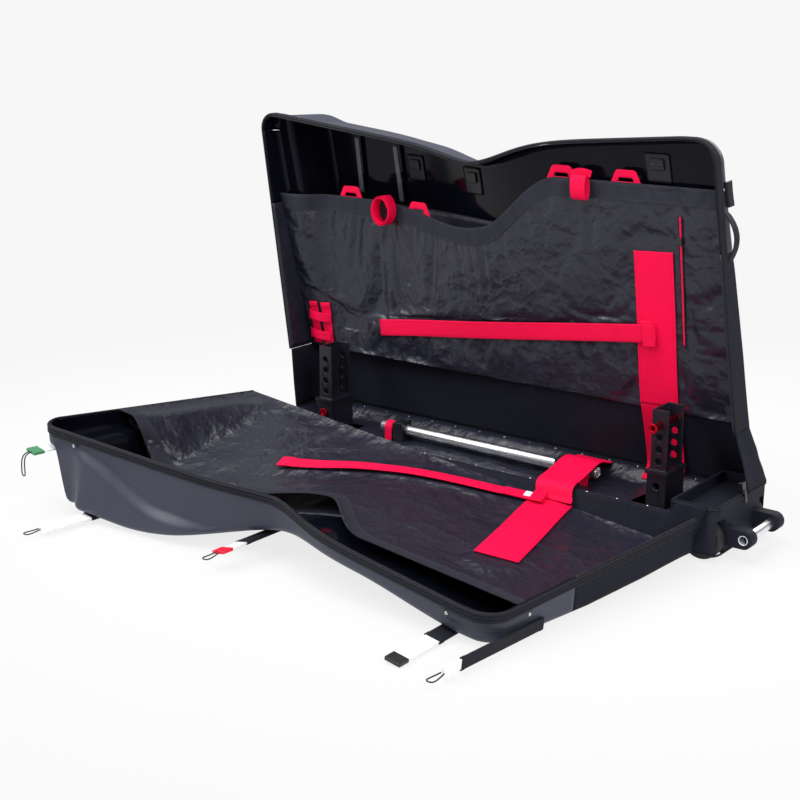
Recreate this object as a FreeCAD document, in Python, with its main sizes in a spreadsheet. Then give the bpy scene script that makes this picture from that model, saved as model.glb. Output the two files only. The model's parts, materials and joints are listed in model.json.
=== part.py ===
import FreeCAD, Part
import Sketcher
import math
import os
import re

# Bike travel case, standing open: one half upright, the other folded down on the floor.
# +X runs along the case towards its wheels and pull bar, +Y from the folded half to the
# upright one, +Z up. The origin is on the floor, at the middle of the base's runner.
# Both halves are worked out closed, standing on the base, and the near one is then folded.

V = FreeCAD.Vector
doc = FreeCAD.newDocument("bike_travel_case")

driving = {
    # outline of both halves, seen from the side
    "case_height": 860, "front_top": -692, "rear_top": 578, "rake_shift": 103, "rake_height": 720,
    "valley_place": -55, "front_fall": 70, "front_dip": 18, "front_dip_width": 110,
    "rear_level": 500, "rear_fall": 44, "rear_dip": 44, "rear_dip_width": 138, "corner_radius": 45,
    # depth of one half, from its rim to its outer face
    "front_depth": 171, "rear_depth": 50, "front_low_depth": 120, "rear_low_depth": 90,
    "bulge_full": -430, "bulge_end": 110, "flange_depth": 52, "bulge_slope": 34, "shell_taper": 17,
    "edge_radius": 18, "shell_drop": 230, "wall_foot": 250,
    "shell_wall": 3, "fabric_wall": 4, "sheet_wall": 2.5, "skirt_wall": 3, "lay_gap": 0.3,
    # outer edge of the shell against its rim, and the folded half's own fuller ends and slack front
    "crown_foot": 46, "crown_front": -598, "crown_rear": -90, "crown_front_run": 60,
    "crown_rear_run": 200, "far_crown": -10, "near_crown": 36, "front_slump": 78,
    "near_front_swell": 12, "near_rear_swell": 18, "front_swell_start": -530,
    "front_swell_full": -640, "rear_swell_start": 230, "rear_swell_full": 500,
    # rim bead and corner guards
    "bead_height": 6, "bead_width": 20, "bead_gap": 0.5,
    "guard_height": 20, "guard_wall": 2.2, "guard_reach": 90, "guard_gap": 0.8, "skirt_radius": 12, "skirt_gap": 0.85,
    # inner pocket sheets
    "hem_front_drop": 205, "hem_rear_drop": 102, "hem_rise": -60, "hem_rise_length": 230,
    "hem_dip": 40, "hem_dip_place": -130, "hem_dip_width": 150, "pocket_low": 78, "pocket_turn": 90,
    "far_pocket_front": 80, "far_pocket_rear": 32, "near_pocket_front": 132, "near_pocket_rear": 21,
    # webbing on the pocket sheets
    "patch_width": 96, "patch_wall": 3, "strap_width": 42, "strap_wall": 4,
    "far_patch_head": 430, "far_patch_drop": 146, "far_patch_foot": 448, "far_patch_low": 262,
    "near_patch_head": 417, "near_patch_drop": 142, "near_patch_foot": 324, "near_patch_low": 262,
    "far_strap_front": -354, "far_strap_front_height": 330,
    "far_strap_rear": 440, "far_strap_rear_height": 428,
    "near_strap_front": -291, "near_strap_front_height": 486,
    "near_strap_rear": 315, "near_strap_rear_height": 278,
    "loop_wide": 48, "loop_narrow": 26, "loop_height": 42, "loop_rise": 25, "loop_band": 9,
    "first_loop": -460, "second_loop": -235, "third_loop": 196, "fourth_loop": 360,
    "roll_width": 40, "roll_height": 62, "roll_depth": 26, "roll_rise": 14,
    "first_roll": -340, "second_roll": 251,
    "curve_lift": 0.6, "side_strap_width": 26, "side_strap_height": 112, "side_strap_top": 372,
    "first_side_strap": -575, "second_side_strap": -538,
    "socket_width": 34, "socket_height": 24, "socket_depth": 9,
    # sockets, as heights above the shell's lower edge
    "front_socket": -330, "front_socket_height": 110, "middle_socket": -110,
    "middle_socket_height": 100, "rear_socket": 420, "rear_socket_height": 170,
    # fold of the halves
    "fold_angle": 94.5, "fold_front": -600, "fold_front_side": 70, "fold_front_height": 178,
    "fold_rear": 650, "fold_rear_side": 11, "fold_rear_height": 109,
    # base tray
    "housing_top": 125, "rim_foot_reach": 13.854, "base_front": -588, "base_half": 125, "tray_bottom": 14, "tray_top": 95,
    "tray_wall": 4, "tray_radius": 40, "runner_front": -540, "runner_rear": 480, "runner_width": 80,
    # wheel housing, wheels and pull bar
    "housing_front": 590, "housing_radius": 22, "housing_wall": 6,
    "housing_floor": 100, "wheel_place": 655, "wheel_side": 99, "wheel_radius": 45,
    "wheel_width": 26, "tyre_wall": 10, "hub_waist": 8, "well_gap": 3, "pin_radius": 4,
    "pin_reach": 5, "run_gap": 0.08,
    "bar_place": 738, "bar_height": 52, "bar_radius": 11, "bar_bore": 9, "bar_half": 82,
    "ear_width": 28, "ear_radius": 20,
    # frame rail
    "rail_front": -300, "rail_rear": 330, "rail_height": 92, "rail_side": 15, "rail_radius": 14,
    "rail_bore": 12, "clip_place": 240, "clip_length": 30, "clip_wall": 6, "fit_gap": 0.05,
    "tie_width": 22, "tie_wall": 2.5, "tie_inset": 16,
    # axle towers
    "front_tower": -450, "rear_tower": 510, "foot_length": 48, "foot_width": 86, "foot_top": 140,
    "track_reach": 36, "track_floor": 3, "track_lip": 10, "track_wall": 3, "slide_gap": 0.2,
    "post_length": 40, "post_width": 74, "post_wall": 5, "post_top": 285, "spigot_depth": 44,
    "collar_wall": 8, "collar_lip": 4, "hole_pitch": 27.8, "low_hole": 112,
    "sleeve_radius": 8, "sleeve_bore": 6.1, "sleeve_flange": 11, "flange_wall": 4,
    "front_axle": 100, "rear_axle": 142,
    # stays in their sleeves on the outer face, each started a drop below the top of the case
    "stay_wall": 4.4, "sleeve_wall": 1.6, "sleeve_seam": 1.5, "stay_gap": 0.3, "slope_lift": 0.5,
    "cap_length": 28, "cap_lip": 2, "cap_wall": 7, "cord_radius": 1.4, "parked_inset": 38,
    "front_end_place": -668, "front_end_start": 226, "front_end_flap": -30, "front_end_out": 60,
    "front_end_tilt": 0, "front_end_turn": 0, "front_end_width": 32, "front_end_length": 225,
    "front_place": -515, "front_start": 226, "front_flap": 40, "front_out": 95,
    "front_tilt": 0, "front_turn": 0, "front_width": 32, "front_length": 330,
    "middle_place": -112, "middle_start": 226, "middle_flap": 40, "middle_out": 40,
    "middle_tilt": 3, "middle_turn": 5, "middle_width": 32, "middle_length": 222,
    "rear_place": 455, "rear_start": 140, "rear_flap": 40, "rear_out": 90,
    "rear_tilt": 0.2, "rear_turn": 8, "rear_width": 32, "rear_length": 200,
    "rear_end_place": 578, "rear_end_start": 136, "rear_end_flap": 146, "rear_end_out": 20,
    "rear_end_tilt": 4, "rear_end_turn": 0, "rear_end_width": 20, "rear_end_length": 250,
    "rear_end_inset": 15, "rear_end_lift": 3.2,
    # grab handle and zips
    "handle_drop": 18, "handle_span": 100, "handle_rise": 22, "handle_wall": 3.5,
    "handle_width": 24, "handle_side": 14,
    "zip_width": 9, "zip_wall": 1.6, "zip_drop": 64, "zip_low": 409, "zip_high_place": 494,
    "zip_low_place": 508, "slider_drop": 53,
    "slider_length": 16, "slider_width": 10, "slider_wall": 6,
    "main_slider_length": 24, "main_slider_width": 16, "main_slider_wall": 9, "pull_length": 30,
    "pull_width": 10, "pull_wall": 2.4, "pull_overlap": 8,
}

sheet = doc.addObject("Spreadsheet::Sheet", "Dims")
for row, (alias, value) in enumerate(driving.items(), start=1):
    sheet.set("A%d" % row, alias)
    sheet.set("B%d" % row, str(value))
    sheet.setAlias("B%d" % row, alias)
doc.recompute()


class Sizes:
    """The sheet's values, by alias, for geometry that is worked out in code."""


d = Sizes()
for alias in driving:
    setattr(d, alias, float(sheet.get(alias)))

# Places that follow from the sheet: what hangs from the top of the case, and the base's rear end,
# which stands a named reach behind the rim's foot.
d.split_height = d.case_height - d.shell_drop
d.hem_front, d.hem_rear = d.case_height - d.hem_front_drop, d.case_height - d.hem_rear_drop
d.far_patch_top, d.near_patch_top = d.hem_rear - d.far_patch_drop, d.hem_rear - d.near_patch_drop
d.handle_low = d.split_height - d.handle_drop
d.handle_high = d.handle_low + d.handle_span
d.zip_high = d.hem_rear - d.zip_drop
d.slider_place = d.zip_high - d.slider_drop
d.base_rear = d.rear_top + d.rake_shift * (d.case_height - d.housing_top) / d.rake_height + d.rim_foot_reach
derived = {"base_rear": "(Dims.rear_top + Dims.rake_shift * (Dims.case_height - Dims.housing_top)"
                        " / Dims.rake_height + Dims.rim_foot_reach)"}

nodes = {}


def keep(item):
    """Marks a document object as a sub-part under its own label."""
    nodes[item.Label] = item
    return item


def named_cell(word):
    name = word.group()
    return "Dims." + name if name in driving else derived.get(name, name)


def bind(item, prop, text):
    """Binds a property to an expression written in the sheet's aliases."""
    item.setExpression(prop, re.sub(r"[a-z_]{3,}", named_cell, text))


def place(item, x, y, z):
    bind(item, "Placement.Base.x", x)
    bind(item, "Placement.Base.y", y)
    bind(item, "Placement.Base.z", z)


def box(name, length, width, height, x, y, z):
    item = doc.addObject("Part::Box", name)
    bind(item, "Length", length)
    bind(item, "Width", width)
    bind(item, "Height", height)
    place(item, x, y, z)
    return item


axis_turns = {
    "X": FreeCAD.Rotation(V(0, 1, 0), 90),
    "Y": FreeCAD.Rotation(V(1, 0, 0), -90),
}


def cylinder(name, radius, height, x, y, z, axis):
    """A cylinder that starts at a point and runs along X or Y."""
    item = doc.addObject("Part::Cylinder", name)
    item.Placement = FreeCAD.Placement(V(), axis_turns[axis])
    bind(item, "Radius", radius)
    bind(item, "Height", height)
    place(item, x, y, z)
    return item


def fuse(name, items):
    item = doc.addObject("Part::MultiFuse", name)
    item.Shapes = items
    return item


def cut(name, base, tools):
    item = doc.addObject("Part::Cut", name)
    item.Base = base
    item.Tool = tools[0] if len(tools) == 1 else fuse(name + "_tools", tools)
    return item


def round_upright_edges(name, base, radius, edges):
    """Rounds upright edges of a box: 1 and 3 at its low X end, 5 and 7 at its high X end."""
    item = doc.addObject("Part::Fillet", name)
    item.Base = base
    item.Edges = [(edge, radius, radius) for edge in edges]
    return item


def feature(label, shape, placement=None):
    item = doc.addObject("Part::Feature", label)
    item.Shape = shape
    if placement:
        item.Placement = placement
    return keep(item)


def origin_part(body, role):
    return next(part for part in body.Origin.OriginFeatures if part.Role == role)


def sketch_on(body, name, role):
    sketch = body.newObject("Sketcher::SketchObject", name)
    sketch.AttachmentSupport = [(origin_part(body, role), "")]
    sketch.MapMode = "FlatFace"
    return sketch


def draw_rectangle(sketch, width, height):
    """A rectangle centred on the sketch's origin, with both sides bound to the sheet."""
    corners = [V(-20, -30, 0), V(20, -30, 0), V(20, 30, 0), V(-20, 30, 0)]
    for start, end in zip(corners, corners[1:] + corners[:1]):
        sketch.addGeometry(Part.LineSegment(start, end), False)
    for side in range(4):
        sketch.addConstraint(Sketcher.Constraint("Coincident", side, 2, (side + 1) % 4, 1))
    for side, kind in enumerate(("Horizontal", "Vertical", "Horizontal", "Vertical")):
        sketch.addConstraint(Sketcher.Constraint(kind, side))
    sketch.addConstraint(Sketcher.Constraint("Symmetric", 0, 1, 1, 2, -1, 1))
    across = sketch.addConstraint(Sketcher.Constraint("Distance", 0, 40))
    up = sketch.addConstraint(Sketcher.Constraint("Distance", 1, 60))
    bind(sketch, "Constraints[%d]" % across, width)
    bind(sketch, "Constraints[%d]" % up, height)


def pad(body, name, sketch, length, offset="0"):
    item = body.newObject("PartDesign::Pad", name)
    item.Profile = sketch
    bind(item, "Length", length)
    bind(sketch, "AttachmentOffset.Base.z", offset)
    return item


def pocket(body, name, sketch, length, offset="0", reverse=False):
    item = body.newObject("PartDesign::Pocket", name)
    item.Profile = sketch
    item.Reversed = reverse
    bind(item, "Length", length)
    bind(sketch, "AttachmentOffset.Base.z", offset)
    return item


# Shape of one half, closed. u is the place along the rim at full height, and the rake
# carries it back lower down: x = u + rake * (case_height - z). Depths are out from the rim.

rake = d.rake_shift / d.rake_height


def smooth(value):
    value = min(1.0, max(0.0, value))
    return value * value * (3 - 2 * value)


def bump(value):
    return math.exp(-value * value)


def raked(u, z):
    return u + rake * (d.case_height - z)


def unraked(x, z):
    return x - rake * (d.case_height - z)


def corner_drop(u):
    """How far the rounded top corners fall below the straight rim, as a circle's arc."""
    into = d.corner_radius - min(d.corner_radius, u - d.front_top, d.rear_top - u)
    return d.corner_radius - math.sqrt(max(0.0, d.corner_radius ** 2 - into ** 2))


def rim_height(u):
    """Top of the rim: a straight fall from each end, with a hollow where they meet."""
    if u < d.valley_place:
        fall = d.front_fall * (u - d.front_top) / (d.valley_place - d.front_top)
        hollow = d.front_dip * bump((u - d.valley_place) / d.front_dip_width)
    else:
        fall = d.rear_fall * max(0.0, d.rear_level - u) / (d.rear_level - d.valley_place)
        hollow = d.rear_dip * bump((u - d.valley_place) / d.rear_dip_width)
    return d.case_height - fall - hollow - corner_drop(u)


def bulge(u):
    return smooth((d.bulge_end - u) / (d.bulge_end - d.bulge_full))


def swell(u, half):
    """Extra depth of the folded half towards both ends, where it sinks to the floor."""
    if half == "far":
        return 0.0
    front = smooth((d.front_swell_start - u) / (d.front_swell_start - d.front_swell_full))
    rear = smooth((u - d.rear_swell_start) / (d.rear_swell_full - d.rear_swell_start))
    return d.near_front_swell * front + d.near_rear_swell * rear


def top_depth(u, half):
    """Depth at the rim's top: shallow at the rear, full in front, with a flange at the front end."""
    full = d.rear_depth + (d.front_depth - d.rear_depth) * bulge(u) + swell(u, half)
    rise = smooth((u - d.front_top - d.corner_radius) / d.bulge_slope)
    return d.flange_depth + (full - d.flange_depth) * rise if u < d.bulge_full else full


def low_depth(u):
    return d.rear_low_depth + (d.front_low_depth - d.rear_low_depth) * bulge(u)


def depth(u, z, half):
    """Depth of the outer face: nearly straight on the hard shell, then drawn in down the soft wall."""
    split = top_depth(u, half) + d.shell_taper
    if z >= d.split_height:
        share = (z - d.split_height) / (d.case_height - d.split_height)
        return split - d.shell_taper * share
    share = (d.split_height - z) / (d.split_height - d.wall_foot)
    return split + (low_depth(u) - split) * share


def inner_depth(u, z, half, wall):
    """Depth of the inner face, kept a wall away on the slope beside the flange too."""
    return min(depth(u + step, z, half) for step in (-wall, 0, wall)) - wall


def spread(start, end, count):
    return [start + (end - start) * step / (count - 1) for step in range(count)]


def corner_steps(angles=(30, 60, 90)):
    return [d.corner_radius * (1 - math.cos(math.radians(angle))) for angle in angles]


def stations(wall):
    """Places along u for a lofted half: close together round the corners and on the slope."""
    first, last = d.front_top + wall, d.rear_top - wall
    front = [first] + [d.front_top + step for step in corner_steps()]
    slope = [d.front_top + d.corner_radius + d.bulge_slope * share for share in (0.3, 0.6, 1.0)]
    middle = spread(slope[-1] + 30, d.rear_top - d.corner_radius - 30, 32)
    rear = [d.rear_top - step for step in reversed(corner_steps())] + [last]
    return front + slope + middle + rear


def section(u, points):
    """A closed polygon on the raked plane of u, from pairs of depth and height."""
    corners = [V(raked(u, z), y, z) for y, z in points]
    return Part.makePolygon(corners + corners[:1])


def ruled(wires):
    return Part.makeLoft(wires, True, True)


def top_arc(depth_here, radius, top):
    """The rounded edge between the rim's top and the outer face, as three points of its arc."""
    middle = radius * math.sin(math.radians(45))
    start = depth_here - radius
    return [(start, top), (start + middle, top - radius + middle), (depth_here, top - radius)]


def edge_radius(u, half):
    return min(d.edge_radius, 0.25 * top_depth(u, half))


def crown(u, half):
    """How far the shell's outer edge stands above its rim, as a plateau along the deep part."""
    front = smooth((u - d.crown_front) / d.crown_front_run)
    rear = smooth((d.crown_rear - u) / d.crown_rear_run)
    return getattr(d, half + "_crown") * front * rear


def slump(u, z, half):
    """How far the folded half's slack front edge has sunk, evenly from its corner to its foot."""
    if half == "far" or u != d.front_top:
        return 0.0
    corner = d.case_height - d.corner_radius
    return d.front_slump * max(0.0, corner - z) / (corner - d.wall_foot)


def shell_profile(u, half, wall):
    """Rim, top and outer face of the shell at u, moved in by a wall."""
    top = rim_height(u) - wall
    radius = max(1.0, edge_radius(u, half) - wall)
    edge = top + crown(u, half)
    reach = inner_depth(u, edge - radius, half, wall)
    foot = min(d.crown_foot, 0.6 * (reach - radius))
    low = inner_depth(u, d.split_height, half, wall)
    return [(0, top), (foot, top)] + top_arc(reach, radius, edge) + [(low, d.split_height)]


def end_plates(wall, outline):
    """Both end walls, each between the raked planes of its two faces."""
    plates = []
    for end, inward in ((d.front_top, wall), (d.rear_top, -wall)):
        pair = sorted((end, end + inward))
        plates.append(ruled([section(u, outline(u, end)) for u in pair]))
    return plates


def hard_shell(half):
    """Moulded upper shell: rim top, outer face and both end walls, open below and at the rim."""
    wall, split = d.shell_wall, d.split_height

    def outline(u, end):
        return shell_profile(u, half, 0) + [(slump(end, split, half), split)]

    skin = ruled([section(u, shell_profile(u, half, 0) + shell_profile(u, half, wall)[::-1])
                  for u in stations(wall)])
    return skin.fuse(end_plates(wall, outline)).removeSplitter()


def soft_wall(half):
    """Stiffened cloth wall below the shell: outer face and both end walls."""
    wall, high, low = d.fabric_wall, d.split_height, d.wall_foot

    def leaf(u):
        outside = [(depth(u, high, half), high), (depth(u, low, half), low)]
        return outside + [(inner_depth(u, z, half, wall), z) for z in (low, high)]

    def outline(u, end):
        edge = [(slump(end, low, half), low), (slump(end, high, half), high)]
        return [(depth(u, high, half), high), (depth(u, low, half), low)] + edge

    skin = ruled([section(u, leaf(u)) for u in stations(wall)])
    return skin.fuse(end_plates(wall, outline)).removeSplitter()


def rim_path():
    """Rim line from the front foot, over the top, to the rear foot, as points of u and z."""
    line = [(u, rim_height(u)) for u in [d.front_top] + stations(d.shell_wall) + [d.rear_top]]
    return [(d.front_top, d.wall_foot)] + line + [(d.rear_top, d.wall_foot)]


def rim_strip(path, side, width, gap, wall, half):
    """A strip that follows the rim on its outer side, from depth side to side + width."""
    line = [V(raked(u, z), slump(u, z, half), z) for u, z in path]
    wires = []
    for at, point in enumerate(line):
        before, after = line[max(0, at - 1)], line[min(len(line) - 1, at + 1)]
        along = V(after.x - before.x, 0, after.z - before.z).normalize()
        out = V(-along.z, 0, along.x)
        near, far = point + out * gap, point + out * (gap + wall)
        inner, outer = V(0, side, 0), V(0, side + width, 0)
        corners = [near + inner, far + inner, far + outer, near + outer]
        wires.append(Part.makePolygon(corners + corners[:1]))
    return ruled(wires)


def rim_bead(half):
    return rim_strip(rim_path(), d.bead_gap, d.bead_width, d.bead_gap, d.bead_height, half)


def corner_guards(half):
    """Riveted guards round both top corners, beside the bead."""
    side = d.bead_width + 2 * d.bead_gap
    turn = corner_steps((0, 15, 30, 45, 60, 75, 90))
    guards = []
    for end, sign in ((d.front_top, 1), (d.rear_top, -1)):
        path = [(end + sign * step, rim_height(end + sign * step)) for step in turn]
        path = [(end, path[0][1] - d.guard_reach)] + path
        path.append((end + sign * d.guard_reach, rim_height(end + sign * d.guard_reach)))
        guards.append(rim_strip(path[::sign], side, d.guard_height, d.guard_gap, d.guard_wall, half))
    return Part.makeCompound(guards)


# Pocket sheet inside each half, and what is sewn on it. A half is "far" or "near".


def hem_height(u):
    rise = smooth((u - d.hem_rise) / d.hem_rise_length)
    hollow = d.hem_dip * bump((u - d.hem_dip_place) / d.hem_dip_width)
    return d.hem_front + (d.hem_rear - d.hem_front) * rise - hollow


def hem_depth(u, half):
    front, rear = getattr(d, half + "_pocket_front"), getattr(d, half + "_pocket_rear")
    turn = smooth((u - d.front_top - d.corner_radius) / d.pocket_turn)
    return rear + (front - rear) * bulge(u) * turn


def pocket_depth(u, z, half):
    """Depth of the sheet: a straight slope from its hem down to its foot."""
    share = (hem_height(u) - z) / (hem_height(u) - d.wall_foot)
    return hem_depth(u, half) + (d.pocket_low - hem_depth(u, half)) * share


def pocket_sheet(half):
    wires = []
    for u in spread(d.front_top + d.fabric_wall, d.rear_top - d.fabric_wall, 40):
        face = [(hem_depth(u, half), hem_height(u)), (d.pocket_low, d.wall_foot)]
        back = [(y + d.sheet_wall, z) for y, z in reversed(face)]
        wires.append(section(u, face + back))
    return ruled(wires)


def sewn_patch(half, corners, wall, lift, steps=6):
    """A flat piece laid on the sheet's inner face, from four corners given as x and z."""
    (x1, z1), (x2, z2), (x3, z3), (x4, z4) = corners
    wires = []
    for share in spread(0, 1, steps):
        ends = [(x1 + (x2 - x1) * share, z1 + (z2 - z1) * share),
                (x4 + (x3 - x4) * share, z4 + (z3 - z4) * share)]
        back = [V(x, pocket_depth(unraked(x, z), z, half) - lift, z) for x, z in ends]
        face = [point - V(0, wall, 0) for point in reversed(back)]
        wires.append(Part.makePolygon(back + face + back[:1]))
    return ruled(wires)


def band(start, end, width):
    """Corners of a straight band between two points, as x and z."""
    run = V(end[0] - start[0], 0, end[1] - start[1]).normalize()
    across = V(-run.z, 0, run.x) * (width / 2)
    return [(start[0] + across.x, start[1] + across.z), (end[0] + across.x, end[1] + across.z),
            (end[0] - across.x, end[1] - across.z), (start[0] - across.x, start[1] - across.z)]


def hub_patch(half):
    head = (getattr(d, half + "_patch_head"), getattr(d, half + "_patch_top"))
    foot = (getattr(d, half + "_patch_foot"), getattr(d, half + "_patch_low"))
    return sewn_patch(half, band(head, foot, d.patch_width), d.patch_wall, d.lay_gap, 4)


def wheel_strap(half):
    """The strap crosses the hub patch, so all of it lies that much higher."""
    ends = [(getattr(d, half + "_strap_" + end), getattr(d, half + "_strap_" + end + "_height"))
            for end in ("front", "rear")]
    return sewn_patch(half, band(*ends, d.strap_width), d.strap_wall, d.patch_wall + 2 * d.lay_gap, 14)


def hem_at(x):
    return hem_height(unraked(x, d.hem_rear))


def standing_loops(places):
    """Webbing loops sewn behind the hem and standing above it, each a trapezoid with an eye."""
    behind = -(d.sheet_wall + d.lay_gap + d.patch_wall)
    loops = []
    for x in places:
        top = hem_at(x) + d.loop_rise
        low = top - d.loop_height
        wide, narrow, rim = d.loop_wide / 2, d.loop_narrow / 2, d.loop_band
        corners = [(x - narrow, top), (x + narrow, top), (x + wide, low), (x - wide, low)]
        eye = [(x - narrow + 3, top - rim), (x + narrow - 3, top - rim),
               (x + wide - rim - 3, low + rim), (x - wide + rim + 3, low + rim)]
        loop = sewn_patch("far", corners, d.patch_wall, behind, 3)
        hole = sewn_patch("far", eye, 3 * d.patch_wall, behind - d.patch_wall, 2)
        loops.append(loop.cut(hole))
    return Part.makeCompound(loops)


def rolled_straps(places):
    rolls = []
    for x in places:
        top = hem_at(x) + d.roll_rise
        corners = band((x, top), (x + 6, top - d.roll_height), d.roll_width)
        rolls.append(sewn_patch("far", corners, d.roll_depth, d.lay_gap, 3))
    return Part.makeCompound(rolls)


def side_straps(places):
    top = d.side_strap_top
    straps = []
    for x in places:
        corners = band((x, top), (x + 8, top - d.side_strap_height), d.side_strap_width)
        straps.append(sewn_patch("far", corners, d.patch_wall, d.lay_gap + d.curve_lift, 4))
    return Part.makeCompound(straps)


def rod_sockets(places):
    """Moulded sockets that take the stays' inner ends, set on the shell's inner face."""
    sockets = []
    for u, z in places:
        wires = []
        for across in (-d.socket_width / 2, d.socket_width / 2):
            levels = (z + d.socket_height / 2, z - d.socket_height / 2)
            back = [(inner_depth(u + across, level, "far", d.shell_wall) - d.lay_gap - d.curve_lift, level)
                    for level in levels]
            face = [(y - d.socket_depth, level) for y, level in reversed(back)]
            wires.append(section(u + across, back + face))
        sockets.append(ruled(wires))
    return Part.makeCompound(sockets)


# Stays: flat battens in cloth sleeves that start on the shell's outer face.

stay_names = ("front_end", "front", "middle", "rear", "rear_end")


def stay_size(name, part):
    return getattr(d, name + "_" + part)


def half_side(half):
    return 1 if half == "far" else -1


def on_face(u, z, half):
    return V(raked(u, z), half_side(half) * depth(u, z, half), z)


def on_rear_end(z, half):
    y = depth(d.rear_top, z, half) - d.rear_end_inset
    return V(raked(d.rear_top, z), half_side(half) * y, z)


def stay_frame(name, half):
    """Placement whose X runs up the sleeve and Z out of the case, from the sleeve's foot."""
    u, low = stay_size(name, "place"), d.case_height - stay_size(name, "start")
    high = rim_height(u) - d.edge_radius
    thick = d.stay_wall + 2 * d.stay_gap + 2 * d.sleeve_wall
    if name == "rear_end":
        foot, head = on_rear_end(low, half), on_rear_end(high, half)
        lift = d.rear_end_lift if half == "far" else d.lay_gap
        beside = V(0, half_side(half), 0)
    else:
        foot, head = on_face(u, low, half), on_face(u, high, half)
        reach = stay_size(name, "width") / 2
        slope = on_face(u + reach, low, half) - on_face(u - reach, low, half)
        lift = d.lay_gap + d.slope_lift
        beside = slope * -1
    along = head.sub(foot).normalize()
    out = beside.cross(along).normalize() * half_side(half)
    across = along.cross(out)
    if half == "near":
        along = FreeCAD.Rotation(out, -stay_size(name, "turn")).multVec(along)
        across = along.cross(out)
        lean = FreeCAD.Rotation(across, stay_size(name, "tilt"))
        along, out = lean.multVec(along), lean.multVec(out)
    turn = FreeCAD.Rotation(along, out.cross(along), out, "XZY")
    return FreeCAD.Placement(foot + out * (lift + thick / 2), turn)


def sleeve_length(name, half):
    """Sleeves of the folded half run on as flaps past the rim, the upright half's stop below it."""
    past = stay_size(name, "flap") if half == "near" else -d.parked_inset
    return rim_height(stay_size(name, "place")) + past - d.case_height + stay_size(name, "start")


def bar_solid(length, width, wall, start):
    """A flat bar along X, centred on the axis."""
    return Part.makeBox(length, width, wall, V(start, -width / 2, -wall / 2))


def sleeve_solid(length, stay_width):
    hole_width, hole_wall = stay_width + 2 * d.stay_gap, d.stay_wall + 2 * d.stay_gap
    width = hole_width + 2 * (d.sleeve_wall + d.sleeve_seam)
    outer = bar_solid(length, width, hole_wall + 2 * d.sleeve_wall, 0)
    return outer.cut(bar_solid(length + 2, hole_width, hole_wall, -1))


# Fold axes, as the near half's axis mirrored to the far side.


def fold_line(side):
    start = V(d.fold_front, side * d.fold_front_side, d.fold_front_height)
    end = V(d.fold_rear, side * d.fold_rear_side, d.fold_rear_height)
    return start, end


fold_start, fold_end = fold_line(-1)
fold_turn = FreeCAD.Rotation(fold_end - fold_start, d.fold_angle)
opened = FreeCAD.Placement(V(), fold_turn, fold_start)


def flipped(shape):
    return shape.mirror(V(0, 0, 0), V(0, 1, 0))


def on_half(half, name, shape):
    """A piece of the far half, or its mirror image on the folded near half."""
    if half == "far":
        feature("far_" + name, shape)
    else:
        feature("near_" + name, flipped(shape), opened)


# Shells, walls, rims and pockets

for half in ("far", "near"):
    on_half(half, "shell", hard_shell(half))
    on_half(half, "wall", soft_wall(half))
    on_half(half, "rim", rim_bead(half))
    on_half(half, "corner_guards", corner_guards(half))
    on_half(half, "pocket", pocket_sheet(half))
    on_half(half, "hub_patch", hub_patch(half))
    on_half(half, "wheel_strap", wheel_strap(half))

feature("far_loops", standing_loops((d.first_loop, d.second_loop, d.third_loop, d.fourth_loop)))
feature("far_rolled_straps", rolled_straps((d.first_roll, d.second_roll)))
feature("far_side_straps", side_straps((d.first_side_strap, d.second_side_strap)))
feature("far_rod_sockets", rod_sockets(((d.front_socket, d.split_height + d.front_socket_height),
                                        (d.middle_socket, d.split_height + d.middle_socket_height),
                                        (d.rear_socket, d.split_height + d.rear_socket_height))))

# Sleeves and stays: parked in the far half, drawn out of the near one

far_sleeves = []
far_stays = []
near_sleeves = []
mouths = {}
for name in stay_names:
    width = stay_size(name, "width")
    for half, group in (("far", far_sleeves), ("near", near_sleeves)):
        sleeve = sleeve_solid(sleeve_length(name, half), width)
        sleeve.Placement = stay_frame(name, half)
        group.append(sleeve)
    parked = bar_solid(sleeve_length(name, "far"), width, d.stay_wall, 0)
    parked.Placement = stay_frame(name, "far")
    far_stays.append(parked)

    mouths[name] = opened * stay_frame(name, "near")
    tip = sleeve_length(name, "near") + stay_size(name, "out")
    batten = doc.addObject("Part::Box", "stay_" + name)
    bind(batten, "Length", name + "_length")
    bind(batten, "Width", name + "_width")
    bind(batten, "Height", "stay_wall")
    corner = V(tip - stay_size(name, "length"), -width / 2, -d.stay_wall / 2)
    batten.Placement = mouths[name] * FreeCAD.Placement(corner, FreeCAD.Rotation())
    keep(batten)
    cap = doc.addObject("Part::Box", "stay_" + name + "_cap")
    bind(cap, "Length", "cap_length")
    bind(cap, "Width", name + "_width + 2 * cap_lip")
    bind(cap, "Height", "cap_wall")
    corner = V(tip, -width / 2 - d.cap_lip, -d.cap_wall / 2)
    cap.Placement = mouths[name] * FreeCAD.Placement(corner, FreeCAD.Rotation())
    keep(cap)

feature("far_sleeves", Part.makeCompound(far_sleeves))
feature("far_stays", Part.makeCompound(far_stays))
feature("near_sleeves", Part.makeCompound(near_sleeves), opened)

# Cords: a pull loop on the caps of four stays, as strands out of the cap's end and back.


def rounded_path(points):
    """Straight runs joined by tangent arcs, each as large as its two runs allow."""
    edges = []
    radii = []
    start = points[0]
    for before, corner, after in zip(points, points[1:], points[2:]):
        back, ahead = before.sub(corner), after.sub(corner)
        reach = 0.45 * min(back.Length, ahead.Length)
        back, ahead = back.normalize(), ahead.normalize()
        half_turn = (math.pi - back.getAngle(ahead)) / 2
        radius = reach / math.tan(half_turn)
        radii.append(radius)
        enter, leave = corner + back * reach, corner + ahead * reach
        middle = corner + (back + ahead).normalize() * (radius / math.cos(half_turn) - radius)
        edges.append(Part.LineSegment(start, enter).toShape())
        edges.append(Part.Arc(enter, middle, leave).toShape())
        start = leave
    edges.append(Part.LineSegment(start, points[-1]).toShape())
    return Part.Wire(edges), radii


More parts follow.
